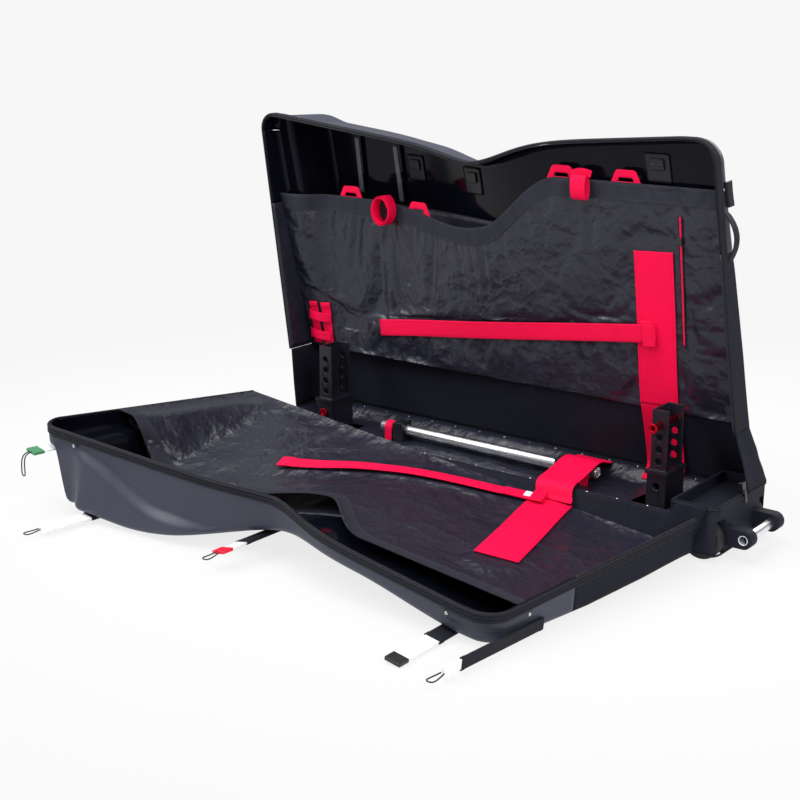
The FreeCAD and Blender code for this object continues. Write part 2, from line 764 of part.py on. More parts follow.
def cord_tube(label, points):
    path, radii = rounded_path(points)
    ring = Part.Wire(Part.Circle(points[0], points[1].sub(points[0]), d.cord_radius).toShape())
    tube = path.makePipeShell([ring], True, False)
    exact = math.pi * d.cord_radius ** 2 * path.Length
    print("%s: length %.1f, tightest radius %.1f, volume ratio %.4f"
          % (label, path.Length, min(radii), tube.Volume / exact))
    return feature(label, tube)


# Steps of each loop from the cap's end: along the stay, across it, and down.
lying_loop = [(0, -4, 0), (9, -5, 1), (18, -7, 2), (27, -8, 2.4), (35, -6, 2.4), (39, 0, 2.4),
              (35, 6, 2.4), (27, 8, 2.4), (18, 7, 2), (9, 5, 1), (0, 4, 0)]
hanging_loop = [(0, -4, 0), (9, -4, 1.5), (16, -5, 8), (19, -6, 18), (20, -6.4, 30), (20, -6, 42),
                (20, -4, 50), (20, 1, 54), (20, 5, 49), (20, 6.6, 41), (20, 6.4, 30), (19, 6, 18),
                (16, 5, 8), (9, 4, 1.5), (0, 4, 0)]
pull_loops = {"front_end": hanging_loop, "front": lying_loop, "middle": lying_loop, "rear_end": lying_loop}

for name, steps in pull_loops.items():
    end = sleeve_length(name, "near") + stay_size(name, "out") + d.cap_length
    mouth = mouths[name]
    exit_point = mouth.multVec(V(end + d.lay_gap, 0, 0))
    along = mouth.Rotation.multVec(V(1, 0, 0))
    level = V(along.x, along.y, 0).normalize()
    across = V(-level.y, level.x, 0)
    cord_tube("stay_" + name + "_cord",
              [exit_point + along * a + across * b - V(0, 0, c) for a, b, c in steps])

# Grab handle on the far half's rear end, as an arched webbing strip


def grab_handle():
    foot = V(raked(d.rear_top, d.handle_low) + d.lay_gap, d.handle_side, d.handle_low)
    head = V(raked(d.rear_top, d.handle_high) + d.lay_gap, d.handle_side, d.handle_high)
    along = head.sub(foot).normalize()
    out = V(along.z, 0, -along.x)
    middle = (foot + head) * 0.5
    inset = along * (2 * d.handle_wall)
    outer = Part.Arc(foot, middle + out * d.handle_rise, head).toShape()
    inner = Part.Arc(head - inset, middle + out * (d.handle_rise - d.handle_wall), foot + inset).toShape()
    upper = Part.LineSegment(head, head - inset).toShape()
    lower = Part.LineSegment(foot + inset, foot).toShape()
    return Part.Face(Part.Wire([outer, upper, inner, lower])).extrude(V(0, d.handle_width, 0))


handle_lift = d.bead_gap + d.bead_height + d.bead_gap
feature("far_handle", grab_handle(), FreeCAD.Placement(V(0, handle_lift, 0), FreeCAD.Rotation()))

# Pocket zip and its slider, and the main zip's slider at the foot of the rear rim

zip_run = V(d.zip_low_place - d.zip_high_place, 0, d.zip_low - d.zip_high)
zip_share = (d.zip_high - d.slider_place) / (d.zip_high - d.zip_low)
zip_ends = [(d.zip_high_place, d.zip_high), (d.zip_low_place, d.zip_low)]
feature("pocket_zip", sewn_patch("far", band(*zip_ends, d.zip_width), d.zip_wall, d.lay_gap, 2))
slider_middle = V(d.zip_high_place, 0, d.zip_high) + zip_run * zip_share
slider_half = V(zip_run).normalize() * (d.slider_length / 2)
slider_ends = [(slider_middle.x - slider_half.x, slider_middle.z - slider_half.z),
               (slider_middle.x + slider_half.x, slider_middle.z + slider_half.z)]
feature("pocket_zip_slider", sewn_patch("far", band(*slider_ends, d.slider_width), d.slider_wall,
                                        d.zip_wall + 2 * d.lay_gap, 2))

rim_up = V(-rake, 0, 1).normalize()
rim_turn = FreeCAD.Rotation(rim_up, V(0, 1, 0), V(rim_up.z, 0, -rim_up.x), "XZY")
slider_lift = d.bead_gap + d.bead_height + d.bead_gap
slider_foot = d.housing_top + d.lay_gap + slider_lift * rim_up.x
rim_foot = V(raked(d.rear_top, slider_foot), 0, slider_foot)
slider_block = Part.makeBox(d.main_slider_length, d.main_slider_width, d.main_slider_wall,
                            V(0, -d.main_slider_width / 2, slider_lift))
pull_tab = Part.makeBox(d.pull_length, d.pull_width, d.pull_wall,
                        V(d.pull_overlap - d.pull_length, -d.pull_width / 2, slider_lift + d.main_slider_wall))
feature("main_zip_slider", slider_block.fuse(pull_tab), FreeCAD.Placement(rim_foot, rim_turn))

# Base tray and its runner

tray_block = box("tray_block", "housing_front - base_front", "2 * base_half", "tray_top - tray_bottom",
                 "base_front", "-base_half", "tray_bottom")
tray_hollow = box("tray_hollow", "housing_front - base_front - 2 * tray_wall",
                  "2 * (base_half - tray_wall)", "tray_top - tray_bottom",
                  "base_front + tray_wall", "tray_wall - base_half", "tray_bottom + tray_wall")
tray_outside = round_upright_edges("tray_outside", tray_block, d.tray_radius, (1, 3))
tray_inside = round_upright_edges("tray_inside", tray_hollow, d.tray_radius - d.tray_wall, (1, 3))
keep(cut("base_tray", tray_outside, [tray_inside]))
keep(box("base_runner", "runner_rear - runner_front", "runner_width", "tray_bottom",
         "runner_front", "-runner_width / 2", "0"))

# Wheel housing with two wells, and two ears for the pull bar

housing_block = box("housing_block", "base_rear - housing_front", "2 * base_half",
                    "housing_top - tray_bottom", "housing_front", "-base_half", "tray_bottom")
housing_outside = round_upright_edges("housing_outside", housing_block, d.housing_radius, (5, 7))
housing_cuts = [box("housing_hollow", "base_rear - housing_front - 2 * housing_wall",
                    "2 * (base_half - housing_wall)", "housing_top - housing_floor + 1",
                    "housing_front + housing_wall", "housing_wall - base_half", "housing_floor")]
ears = []
pins = []
for side, sign in (("near", "-"), ("far", "")):
    ear_start = "-bar_half" if sign else "bar_half - ear_width"
    ears.append(box("ear_block_" + side, "bar_place - base_rear + 2", "ear_width", "2 * ear_radius",
                    "base_rear - 2", ear_start, "bar_height - ear_radius"))
    ears.append(cylinder("ear_round_" + side, "ear_radius", "ear_width",
                         "bar_place", ear_start, "bar_height", "Y"))
    well_start = sign + "wheel_side - wheel_width / 2 - well_gap"
    housing_cuts.append(box("well_" + side, "base_rear - wheel_place + wheel_radius + 2 * well_gap",
                            "wheel_width + 2 * well_gap", "2 * wheel_radius + well_gap",
                            "wheel_place - wheel_radius - well_gap", well_start, "0"))
    pin_size = ["wheel_width + 2 * well_gap + 2 * pin_reach", "wheel_place",
                well_start + " - pin_reach", "wheel_radius", "Y"]
    housing_cuts.append(cylinder("pin_hole_" + side, "pin_radius + fit_gap", *pin_size))
    pins.append(cylinder("pin_" + side, "pin_radius", *pin_size))
housing_cuts.append(cylinder("bar_hole", "bar_radius + fit_gap", "2 * bar_half + 2",
                             "bar_place", "-bar_half - 1", "bar_height", "Y"))
keep(cut("wheel_housing", fuse("housing_and_ears", [housing_outside] + ears), housing_cuts))
axle_pins = doc.addObject("Part::Compound", "wheel_pins")
axle_pins.Links = pins
keep(axle_pins)
bar_outside = cylinder("bar_outside", "bar_radius", "2 * bar_half",
                       "bar_place", "-bar_half", "bar_height", "Y")
bar_inside = cylinder("bar_inside", "bar_bore", "2 * bar_half + 2",
                      "bar_place", "-bar_half - 1", "bar_height", "Y")
keep(cut("pull_bar", bar_outside, [bar_inside]))


def turned_body(label, corners, x, y, z):
    """A body turned about the Y axis, from a profile of radius and place along the axle."""
    body = doc.addObject("PartDesign::Body", label)
    sketch = sketch_on(body, label + "_profile", "XY_Plane")
    count = len(corners)
    for at in range(count):
        start, end = V(10 + at, at % 2, 0), V(11 + at, (at + 1) % 2, 0)
        sketch.addGeometry(Part.LineSegment(start, end), False)
    for at in range(count):
        sketch.addConstraint(Sketcher.Constraint("Coincident", at, 2, (at + 1) % count, 1))
    for at, (radius, along) in enumerate(corners):
        for kind, text in (("DistanceX", radius), ("DistanceY", along)):
            number = sketch.addConstraint(Sketcher.Constraint(kind, -1, 1, at, 1, 10))
            bind(sketch, "Constraints[%d]" % number, text)
    turn = body.newObject("PartDesign::Revolution", label + "_turn")
    turn.Profile = sketch
    turn.ReferenceAxis = (sketch, ["V_Axis"])
    turn.Angle = 360
    place(body, x, y, z)
    return keep(body)


low, high = "well_gap", "well_gap + wheel_width"
tread = "wheel_radius - tyre_wall"
dish, boss = tread + " - 5", "3 * pin_radius"
seat, bore = tread + " - fit_gap", "pin_radius + run_gap"
waist_low, waist_high = low + " + hub_waist", high + " - hub_waist"
tyre_corners = [(tread, low), ("wheel_radius - 3", low), ("wheel_radius", low + " + 4"),
                ("wheel_radius", high + " - 4"), ("wheel_radius - 3", high), (tread, high)]
hub_corners = [(bore, low), (boss, low), (boss, waist_low), (dish, waist_low), (dish, low), (seat, low),
               (seat, high), (dish, high), (dish, waist_high), (boss, waist_high), (boss, high), (bore, high)]
for side, sign in (("near", "-"), ("far", "")):
    start = sign + "wheel_side - wheel_width / 2 - well_gap"
    for piece, corners in (("tyre", tyre_corners), ("hub", hub_corners)):
        turned_body("wheel_%s_%s" % (side, piece), corners, "wheel_place", start, "wheel_radius")

# Frame rail, its clips and the straps round its ends

rail_outside = cylinder("rail_outside", "rail_radius", "rail_rear - rail_front",
                        "rail_front", "rail_side", "rail_height", "X")
rail_inside = cylinder("rail_inside", "rail_bore", "rail_rear - rail_front + 2",
                       "rail_front - 1", "rail_side", "rail_height", "X")
keep(cut("frame_rail", rail_outside, [rail_inside]))
tray_floor = "tray_bottom + tray_wall"
clip_blocks = []
clip_holes = []
ties = []
for end, sign in (("front", "-"), ("rear", "")):
    start = sign + "clip_place - clip_length / 2"
    clip_blocks.append(box("clip_block_" + end, "clip_length", "2 * (rail_radius + clip_wall)",
                           "rail_height + rail_radius + clip_wall - tray_bottom - tray_wall",
                           start, "rail_side - rail_radius - clip_wall", tray_floor))
    clip_holes.append(cylinder("clip_hole_" + end, "rail_radius + fit_gap", "clip_length + 2",
                               start + " - 1", "rail_side", "rail_height", "X"))
    tie_start = "rail_front + tie_inset" if sign else "rail_rear - tie_inset - tie_width"
    ring = cylinder("tie_ring_" + end, "rail_radius + lay_gap + tie_wall", "tie_width",
                    tie_start, "rail_side", "rail_height", "X")
    tail = box("tie_tail_" + end, "tie_width", "tie_wall", "rail_height - tray_bottom - tray_wall",
               tie_start, "rail_side - rail_radius - lay_gap - tie_wall", tray_floor)
    core = cylinder("tie_core_" + end, "rail_radius + lay_gap", "tie_width + 2",
                    tie_start + " - 1", "rail_side", "rail_height", "X")
    ties.append(cut("tie_" + end, fuse("tie_solid_" + end, [ring, tail]), [core]))
keep(cut("rail_clips", fuse("clip_blocks", clip_blocks), clip_holes))
rail_ties = doc.addObject("Part::Compound", "rail_ties")
rail_ties.Links = ties
keep(rail_ties)

# Axle towers: a foot that slides in a track, a perforated post in it, and an axle sleeve

track_blocks = []
track_slots = []
track_top = tray_floor + " + track_floor"
track_width = "foot_width + 2 * slide_gap"
track_length = "foot_length + 2 * track_reach"


def bored_hole(body, name, height):
    """A round hole right through a body along Y, at a height above its own origin."""
    sketch = sketch_on(body, name + "_ring", "XZ_Plane")
    ring = sketch.addGeometry(Part.Circle(V(0, 30, 0), V(0, 0, 1), 8), False)
    sketch.addConstraint(Sketcher.Constraint("PointOnObject", ring, 3, -2))
    rise = sketch.addConstraint(Sketcher.Constraint("DistanceY", -1, 1, ring, 3, 30))
    wide = sketch.addConstraint(Sketcher.Constraint("Radius", ring, 8))
    bind(sketch, "Constraints[%d]" % rise, height)
    bind(sketch, "Constraints[%d]" % wide, "sleeve_radius + fit_gap")
    return pocket(body, name, sketch, "2 * foot_width", "-foot_width", True)


for end in ("front", "rear"):
    spot = end + "_tower"
    track_start = spot + " - foot_length / 2 - track_reach"
    track_blocks.append(box("track_block_" + end, track_length, track_width + " + 2 * track_wall",
                            "track_floor + track_lip", track_start,
                            "-foot_width / 2 - slide_gap - track_wall", tray_floor))
    track_slots.append(box("track_slot_" + end, track_length + " + 2", track_width, "track_lip + 1",
                           track_start + " - 1", "-foot_width / 2 - slide_gap", track_top))

    foot = doc.addObject("PartDesign::Body", end + "_foot")
    outline = sketch_on(foot, end + "_foot_outline", "XY_Plane")
    draw_rectangle(outline, "foot_length", "foot_width")
    foot_height = "(foot_top - tray_bottom - tray_wall - track_floor - slide_gap)"
    pad(foot, end + "_foot_block", outline, foot_height)
    socket = sketch_on(foot, end + "_foot_socket_outline", "XY_Plane")
    draw_rectangle(socket, "post_length + 2 * fit_gap", "post_width + 2 * fit_gap")
    pocket(foot, end + "_foot_socket", socket, "spigot_depth + fit_gap", foot_height)
    bored_hole(foot, end + "_foot_hole", "low_hole - foot_top + " + foot_height)
    place(foot, spot, "0", track_top + " + slide_gap")
    keep(foot)

    post = doc.addObject("PartDesign::Body", end + "_post")
    outline = sketch_on(post, end + "_post_outline", "XY_Plane")
    draw_rectangle(outline, "post_length", "post_width")
    pad(post, end + "_post_block", outline, "post_top - foot_top + spigot_depth")
    collar = sketch_on(post, end + "_post_collar_outline", "XY_Plane")
    draw_rectangle(collar, "foot_length + 2 * collar_lip", "foot_width + 2 * collar_lip")
    pad(post, end + "_post_collar", collar, "collar_wall", "spigot_depth")
    channel = sketch_on(post, end + "_post_channel_outline", "XY_Plane")
    draw_rectangle(channel, "post_length", "post_width - 2 * post_wall")
    pocket(post, end + "_post_channel", channel, "post_top - foot_top - collar_wall",
           "post_top - foot_top + spigot_depth")
    bind(channel, "AttachmentOffset.Base.x", "post_wall")
    bored_hole(post, end + "_post_low_hole", "low_hole - foot_top + spigot_depth")
    first = bored_hole(post, end + "_post_hole", "low_hole + 2 * hole_pitch - foot_top + spigot_depth")
    doc.recompute()
    row = post.newObject("PartDesign::LinearPattern", end + "_post_holes")
    row.Originals = [first]
    row.Direction = (origin_part(post, "Z_Axis"), [""])
    bind(row, "Length", "3 * hole_pitch")
    row.Occurrences = 4
    post.Tip = row
    place(post, spot, "0", "foot_top - spigot_depth")
    keep(post)

    height = "low_hole" if end == "front" else "low_hole + 5 * hole_pitch"
    length = end + "_axle"
    start = "-%s / 2" % length
    tube = cylinder("sleeve_tube_" + end, "sleeve_radius", length, spot, start, height, "Y")
    flange = cylinder("sleeve_flange_" + end, "sleeve_flange", "flange_wall", spot, start, height, "Y")
    bore = cylinder("sleeve_bore_" + end, "sleeve_bore", length + " + 2", spot, start + " - 1", height, "Y")
    keep(cut(end + "_axle_sleeve", fuse("sleeve_" + end, [tube, flange]), [bore]))

keep(cut("tower_tracks", fuse("track_blocks", track_blocks), track_slots))

# Cloth skirts between the base and the foot of each half


def corner_rows(x, radius, sign, height, top, low_depth_here):
    """Rows round one rounded corner of the base, from its side to its end."""
    rows = []
    half = d.base_half
    for angle in (18, 36, 54, 72):
        across, along = math.cos(math.radians(angle)), sign * math.sin(math.radians(angle))
        foot = V(x - sign * radius + along * radius, half - radius + across * radius, height)
        small = d.skirt_radius
        head = V(top - sign * small + along * small, low_depth_here - small + across * small, 0)
        rows.append((foot, V(along, across, 0), head))
    return rows


def skirt_rows():
    """Matching points on the base's outline and on a half's foot, from the rear end round to the front."""
    rear, front, half = d.base_rear, d.base_front, d.base_half
    top_rear, top_front = raked(d.rear_top, d.wall_foot), raked(d.front_top, d.wall_foot)
    rows = []
    for share in (0.12, 0.4, 0.7):
        rows.append((V(rear, share * half, d.housing_top), V(1, 0, 0),
                     V(top_rear, share * d.rear_low_depth, 0)))
    rows += corner_rows(rear, d.housing_radius, 1, d.housing_top, top_rear, d.rear_low_depth)[::-1]
    sides = [rear - d.housing_radius, d.housing_front + 2, d.housing_front - 8]
    sides += spread(d.housing_front - 70, front + d.tray_radius, 12)
    for x in sides:
        u = unraked(x, d.tray_top)
        height = d.housing_top if x > d.housing_front else d.tray_top
        rows.append((V(x, half, height), V(0, 1, 0), V(raked(u, d.wall_foot), low_depth(u), 0)))
    rows += corner_rows(front, d.tray_radius, -1, d.tray_top, top_front, d.front_low_depth)
    for share in (0.6, 0.3, 0.02):
        rows.append((V(front, share * half, d.tray_top), V(-1, 0, 0),
                     V(top_front, share * d.front_low_depth, 0)))
    return rows


def skirt(rows, carry, side):
    """A thin cloth strip from the base's outside to a half's foot, which carry puts in place."""
    wall, gap = d.skirt_wall, d.skirt_gap
    wires = []
    for low, out, high in rows:
        turn = V(out.x, side * out.y, 0)
        foot = V(low.x, side * low.y, low.z - gap)
        head = V(high.x, side * high.y, d.wall_foot - gap)
        edge = carry(head - turn * gap)
        start, under = foot + turn * gap, V(0, 0, wall)
        corners = [start, start + turn * wall, edge, edge - turn * wall]
        if side < 0:
            corners = [start, edge, edge - under, start - under]
        wires.append(Part.makePolygon(corners + corners[:1]))
    return ruled(wires)


rows = skirt_rows()
feature("far_skirt", skirt(rows, lambda point: point, 1))
side_rows = [row for row in rows if abs(row[1].y) == 1]
feature("near_skirt", skirt(side_rows, opened.multVec, -1))

doc.recompute()
broken = [item.Name for item in doc.Objects if "Invalid" in item.State or "Error" in item.State]
for name, item in nodes.items():
    if item.Shape.isNull() or not item.Shape.isValid() or not item.Shape.Solids:
        broken.append(name)
if broken:
    raise SystemExit("failed: " + ", ".join(broken))

os.makedirs("parts", exist_ok=True)
for name, item in nodes.items():
    item.Shape.exportStep("parts/%s.step" % name)
    size = item.Shape.BoundBox
    print("%-24s x %7.1f %7.1f  y %7.1f %7.1f  z %7.1f %7.1f  solids %d"
          % (name, size.XMin, size.XMax, size.YMin, size.YMax, size.ZMin, size.ZMax, len(item.Shape.Solids)))
print(len(nodes), "parts")
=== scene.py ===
import bmesh
import bpy
import json
import math
import numpy as np
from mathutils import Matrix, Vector


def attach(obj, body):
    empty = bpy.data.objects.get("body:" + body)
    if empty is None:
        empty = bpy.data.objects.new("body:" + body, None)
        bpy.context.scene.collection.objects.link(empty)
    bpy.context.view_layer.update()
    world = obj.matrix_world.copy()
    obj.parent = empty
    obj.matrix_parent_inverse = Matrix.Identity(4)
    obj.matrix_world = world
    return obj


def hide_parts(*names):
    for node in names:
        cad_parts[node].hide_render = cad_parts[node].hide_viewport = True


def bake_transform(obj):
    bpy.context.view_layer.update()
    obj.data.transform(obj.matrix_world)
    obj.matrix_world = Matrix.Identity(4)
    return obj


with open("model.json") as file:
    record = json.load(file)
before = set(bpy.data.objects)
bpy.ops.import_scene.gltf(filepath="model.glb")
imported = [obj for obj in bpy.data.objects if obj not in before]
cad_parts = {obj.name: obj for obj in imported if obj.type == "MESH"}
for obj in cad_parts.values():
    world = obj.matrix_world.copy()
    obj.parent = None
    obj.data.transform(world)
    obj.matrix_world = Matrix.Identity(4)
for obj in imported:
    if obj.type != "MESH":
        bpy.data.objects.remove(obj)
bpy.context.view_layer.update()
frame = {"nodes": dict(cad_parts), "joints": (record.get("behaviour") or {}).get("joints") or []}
nodes = frame["nodes"]
joints = {joint["name"]: joint for joint in frame["joints"]}
print("frame:", len(nodes), "nodes")

# Shape of one half, closed, in metres. u is the place along the rim at full height and
# the rake carries it back lower down. Depths run out from the rim.
case = {
    "height": 0.860, "front": -0.692, "rear": 0.578, "rake": 103 / 720, "corner": 0.045,
    "valley": -0.055, "frontFall": 0.070, "frontDip": 0.018, "frontDipWidth": 0.110,
    "rearLevel": 0.500, "rearFall": 0.044, "rearDip": 0.044, "rearDipWidth": 0.138,
    "frontDepth": 0.171, "rearDepth": 0.050, "frontLow": 0.120, "rearLow": 0.090,
    "bulgeFull": -0.430, "bulgeEnd": 0.110, "flange": 0.052, "bulgeSlope": 0.034, "taper": 0.017,
    "split": 0.630, "foot": 0.250, "edge": 0.016, "wall": 0.003,
    "crownFoot": 0.046, "crownFront": -0.598, "crownRear": -0.090, "crownFrontRun": 0.060,
    "crownRearRun": 0.200, "crown": {"far": -0.010, "near": 0.036}, "slump": 0.078,
    "frontSwell": 0.012, "frontSwellEnd": -0.530, "frontSwellRun": 0.110,
    "rearSwell": 0.018, "rearSwellStart": 0.230, "rearSwellRun": 0.270,
    "beadGap": 0.0005, "mouthGap": 0.0007, "beadWidth": 0.020,
}
pocket = {
    "hemFront": 0.655, "hemRear": 0.758, "rise": -0.060, "riseLength": 0.230, "dip": 0.040,
    "dipPlace": -0.130, "dipWidth": 0.150, "low": 0.078, "turn": 0.090,
    "front": {"far": 0.080, "near": 0.132}, "rear": {"far": 0.032, "near": 0.021},
}
crease = {"lift": 0.007, "front": -0.690, "frontRun": 0.050, "rear": -0.080, "rearRun": 0.220, "depth": 0.024,
          "wander": 0.078, "wanderStart": -0.600, "wanderRun": 0.280, "step": 0.020, "share": 0.28}
body = {"far": "far_panel", "near": "near_panel"}


# smoothstep: 3 v^2 - 2 v^3, held between 0 and 1
def smooth(v):
    v = np.clip(v, 0.0, 1.0)
    return v * v * (3 - 2 * v)


# bell curve: e to the power of -v^2
def hump(v):
    return np.exp(-v * v)


# x at height z: u moved back by the rake times the way down from the top
def raked(u, z):
    return u + case["rake"] * (case["height"] - z)


# the other way, from x to u
def unraked(x, z):
    return x - case["rake"] * (case["height"] - z)


# straight fall from each end plus a hollow where they meet, without the rounded corners
def rimLine(u):
    u = np.asarray(u, float)
    v = u - case["valley"]
    front = case["frontFall"] * (u - case["front"]) / (case["valley"] - case["front"])
    front = front + case["frontDip"] * hump(v / case["frontDipWidth"])
    level = case["rearLevel"]
    rear = case["rearFall"] * np.maximum(0, level - u) / (level - case["valley"])
    rear = rear + case["rearDip"] * hump(v / case["rearDipWidth"])
    return case["height"] - np.where(v < 0, front, rear)


# rim line lowered by an inset, with corners of the same centre: R - sqrt(R^2 - into^2)
def rimHeight(u, inset=0.0):
    u = np.asarray(u, float)
    radius = case["corner"] - inset
    into = case["corner"] - np.minimum(case["corner"], np.minimum(u - case["front"], case["rear"] - u))
    drop = radius - np.sqrt(np.maximum(0, radius * radius - into * into))
    return rimLine(u) - inset - drop


# 1 over the deep front end, eased to 0 behind it
def bulge(u):
    return smooth((case["bulgeEnd"] - u) / (case["bulgeEnd"] - case["bulgeFull"]))


# depth at the top: the rear's, deepened by the bulge and rising from a flange at the front corner
def topDepth(u, half):
    u = np.asarray(u, float)
    full = case["rearDepth"] + (case["frontDepth"] - case["rearDepth"]) * bulge(u)
    if half == "near":
        full = full + case["frontSwell"] * smooth((case["frontSwellEnd"] - u) / case["frontSwellRun"])
        full = full + case["rearSwell"] * smooth((u - case["rearSwellStart"]) / case["rearSwellRun"])
    rise = smooth((u - case["front"] - case["corner"]) / case["bulgeSlope"])
    return np.where(u < case["bulgeFull"], case["flange"] + (full - case["flange"]) * rise, full)


# outer face: a slight taper down the shell, then straight in to the foot of the soft wall
def depth(u, z, half):
    split = topDepth(u, half) + case["taper"]
    low = case["rearLow"] + (case["frontLow"] - case["rearLow"]) * bulge(np.asarray(u, float))
    upper = split - case["taper"] * (z - case["split"]) / (case["height"] - case["split"])
    lower = split + (low - split) * (case["split"] - z) / (case["split"] - case["foot"])
    return np.where(z >= case["split"], upper, lower)


# rise or fall of the outer edge over the deep front end, eased in and out along u
def crown(u, half):
    front = smooth((u - case["crownFront"]) / case["crownFrontRun"])
    return case["crown"][half] * front * smooth((case["crownRear"] - u) / case["crownRearRun"])


# the near shell stands out further behind a crease that winds from its corner to its outer edge
def creaseLift(u, half):
    if half == "far":
        return 0.0 * u
    front = smooth((u - crease["front"]) / crease["frontRun"])
    return crease["lift"] * front * smooth((crease["rear"] - u) / crease["rearRun"])


# crown and crease together, at the outer edge
def edgeLift(u, half):
    return crown(u, half) + creaseLift(u, half)


# how much of the lift is reached at depth y: a straight rise and a step at the crease
def liftShare(u, y, reach, half):
    straight = np.clip((y - case["crownFoot"]) / np.maximum(0.02, reach - case["crownFoot"]), 0, 1)
    line = crease["depth"] + crease["wander"] * smooth((u - crease["wanderStart"]) / crease["wanderRun"])
    step = smooth((y - line) / crease["step"])
    share = (1 - crease["share"]) * straight + crease["share"] * step
    return crown(u, half) * share + creaseLift(u, half) * step


# the folded half's slack front edge sinks evenly from its corner to its foot
def slump(z, half):
    if half == "far":
        return np.zeros_like(z)
    corner = case["height"] - case["corner"]
    return case["slump"] * np.maximum(0, corner - z) / (corner - case["foot"])


# hem of the sheet: eased up from front to rear, less a bell-shaped dip
def hemHeight(u):
    rise = smooth((u - pocket["rise"]) / pocket["riseLength"])
    dip = pocket["dip"] * hump((u - pocket["dipPlace"]) / pocket["dipWidth"])
    return pocket["hemFront"] + (pocket["hemRear"] - pocket["hemFront"]) * rise - dip


# depth of the hem: the rear's, deepened by the bulge behind the front corner
def hemDepth(u, half):
    turn = smooth((u - case["front"] - case["corner"]) / pocket["turn"])
    return pocket["rear"][half] + (pocket["front"][half] - pocket["rear"][half]) * bulge(u) * turn


# depth of the sheet: straight from its hem to its foot
def pocketDepth(u, z, half):
    share = (hemHeight(u) - z) / (hemHeight(u) - case["foot"])
    return hemDepth(u, half) + (pocket["low"] - hemDepth(u, half)) * share


# Rodrigues' turn of points about an axis through a place
def turned(points, place, axis, angle):
    axis = np.array(axis, float)
    axis = axis / np.linalg.norm(axis)
    p = points - np.array(place, float)
    along = (p @ axis)[..., None] * axis
    return np.array(place, float) + p * math.cos(angle) + np.cross(axis, p) * math.sin(angle) \
        + along * (1 - math.cos(angle))


nearFold = joints["near_fold"]
openAngle = math.radians(nearFold["range_deg"][1])


# closed points of a half to where it stands: the near half is the mirror image, folded down
def placed(points, half):
    points = np.asarray(points, float)
    if half == "far":
        return points
    return turned(points * np.array([1.0, -1.0, 1.0]), nearFold["pos_m"], nearFold["axis"], -openAngle)


# points of the closed half from u, height and depth
def closedPoints(u, z, y):
    u, z, y = np.broadcast_arrays(np.asarray(u, float), np.asarray(z, float), np.asarray(y, float))
    return np.stack([raked(u, z), y, z], axis=-1)


# smooth noise from -1 to 1: a seeded lattice of values, blended with a smoothstep
def noise(x, y, seed):
    table = np.random.default_rng(seed).uniform(-1, 1, (64, 64))
    x, y = np.broadcast_arrays(np.asarray(x, float), np.asarray(y, float))
    i, j = np.floor(x).astype(int), np.floor(y).astype(int)
    a, b = x - i, y - j
    a, b = a * a * (3 - 2 * a), b * b * (3 - 2 * b)
    i0, i1, j0, j1 = i % 64, (i + 1) % 64, j % 64, (j + 1) % 64
    low = table[i0, j0] * (1 - a) + table[i1, j0] * a
    high = table[i0, j1] * (1 - a) + table[i1, j1] * a
    return low * (1 - b) + high * b


# creases: sharp ridges where the noise crosses zero
def ridges(x, y, seed):
    return 1 - 2 * np.abs(noise(x, y, seed))


# Meshes


# faces of a grid, row by row, joined round where asked
def gridFaces(rows, columns, closeRows=False, closeColumns=False, start=0):
    r = np.arange(rows if closeRows else rows - 1)
    c = np.arange(columns if closeColumns else columns - 1)
    r, c = np.meshgrid(r, c, indexing="ij")
    r1, c1 = (r + 1) % rows, (c + 1) % columns
    quads = np.stack([r * columns + c, r * columns + c1, r1 * columns + c1, r1 * columns + c], axis=-1)
    return quads.reshape(-1, 4) + start


# faces of a tube of rows, with both ends closed where asked
def tubeFaces(rows, columns, caps=True):
    faces = gridFaces(rows, columns, closeColumns=True).tolist()
    if caps:
        faces += [list(range(columns)), list(range((rows - 1) * columns, rows * columns))[::-1]]
    return faces


# metres along a path at each of its points: the sum of the steps before it
def runLength(path):
    return np.concatenate([[0], np.cumsum(np.linalg.norm(np.diff(path, axis=0), axis=1))])


# each vector divided by its length
def unit(vectors):
    return vectors / np.linalg.norm(vectors, axis=1)[:, None]


# welds doubles where a distance is given, and turns every face outwards
def mend(mesh, merge=0.0):
    work = bmesh.new()
    work.from_mesh(mesh)
    if merge:
        bmesh.ops.remove_doubles(work, verts=work.verts, dist=merge)
    bmesh.ops.recalc_face_normals(work, faces=work.faces)
    work.to_mesh(mesh)
    work.free()


# metres along both ways of a grid, from the mean step between its rows and columns
def gridUv(points):
    along = np.linalg.norm(np.diff(points, axis=0), axis=2).mean(1)
    across = np.linalg.norm(np.diff(points, axis=1), axis=2).mean(0)
    u = np.concatenate([[0], np.cumsum(along)])
    v = np.concatenate([[0], np.cumsum(across)])
    return np.stack(np.broadcast_arrays(u[:, None], v[None, :]), axis=-1)


# an object from points and faces, its UV given for each point
def meshPiece(name, verts, faces, materials, uv=None, merge=0.0, flat=False):
    mesh = bpy.data.meshes.new(name)
    mesh.from_pydata(np.asarray(verts, float).reshape(-1, 3).tolist(), [], [list(f) for f in faces])
    if uv is not None:
        layer = mesh.uv_layers.new(name="UVMap")
        loops = np.empty(len(mesh.loops), np.int32)
        mesh.loops.foreach_get("vertex_index", loops)
        layer.data.foreach_set("uv", np.asarray(uv, np.float32).reshape(-1, 2)[loops].ravel())
    mesh.polygons.foreach_set("use_smooth", np.full(len(mesh.polygons), not flat))
    for material in materials:
        mesh.materials.append(material)
    if merge:
        mend(mesh, merge)
    mesh.update()
    piece = bpy.data.objects.new(name, mesh)
    bpy.context.scene.collection.objects.link(piece)
    return piece


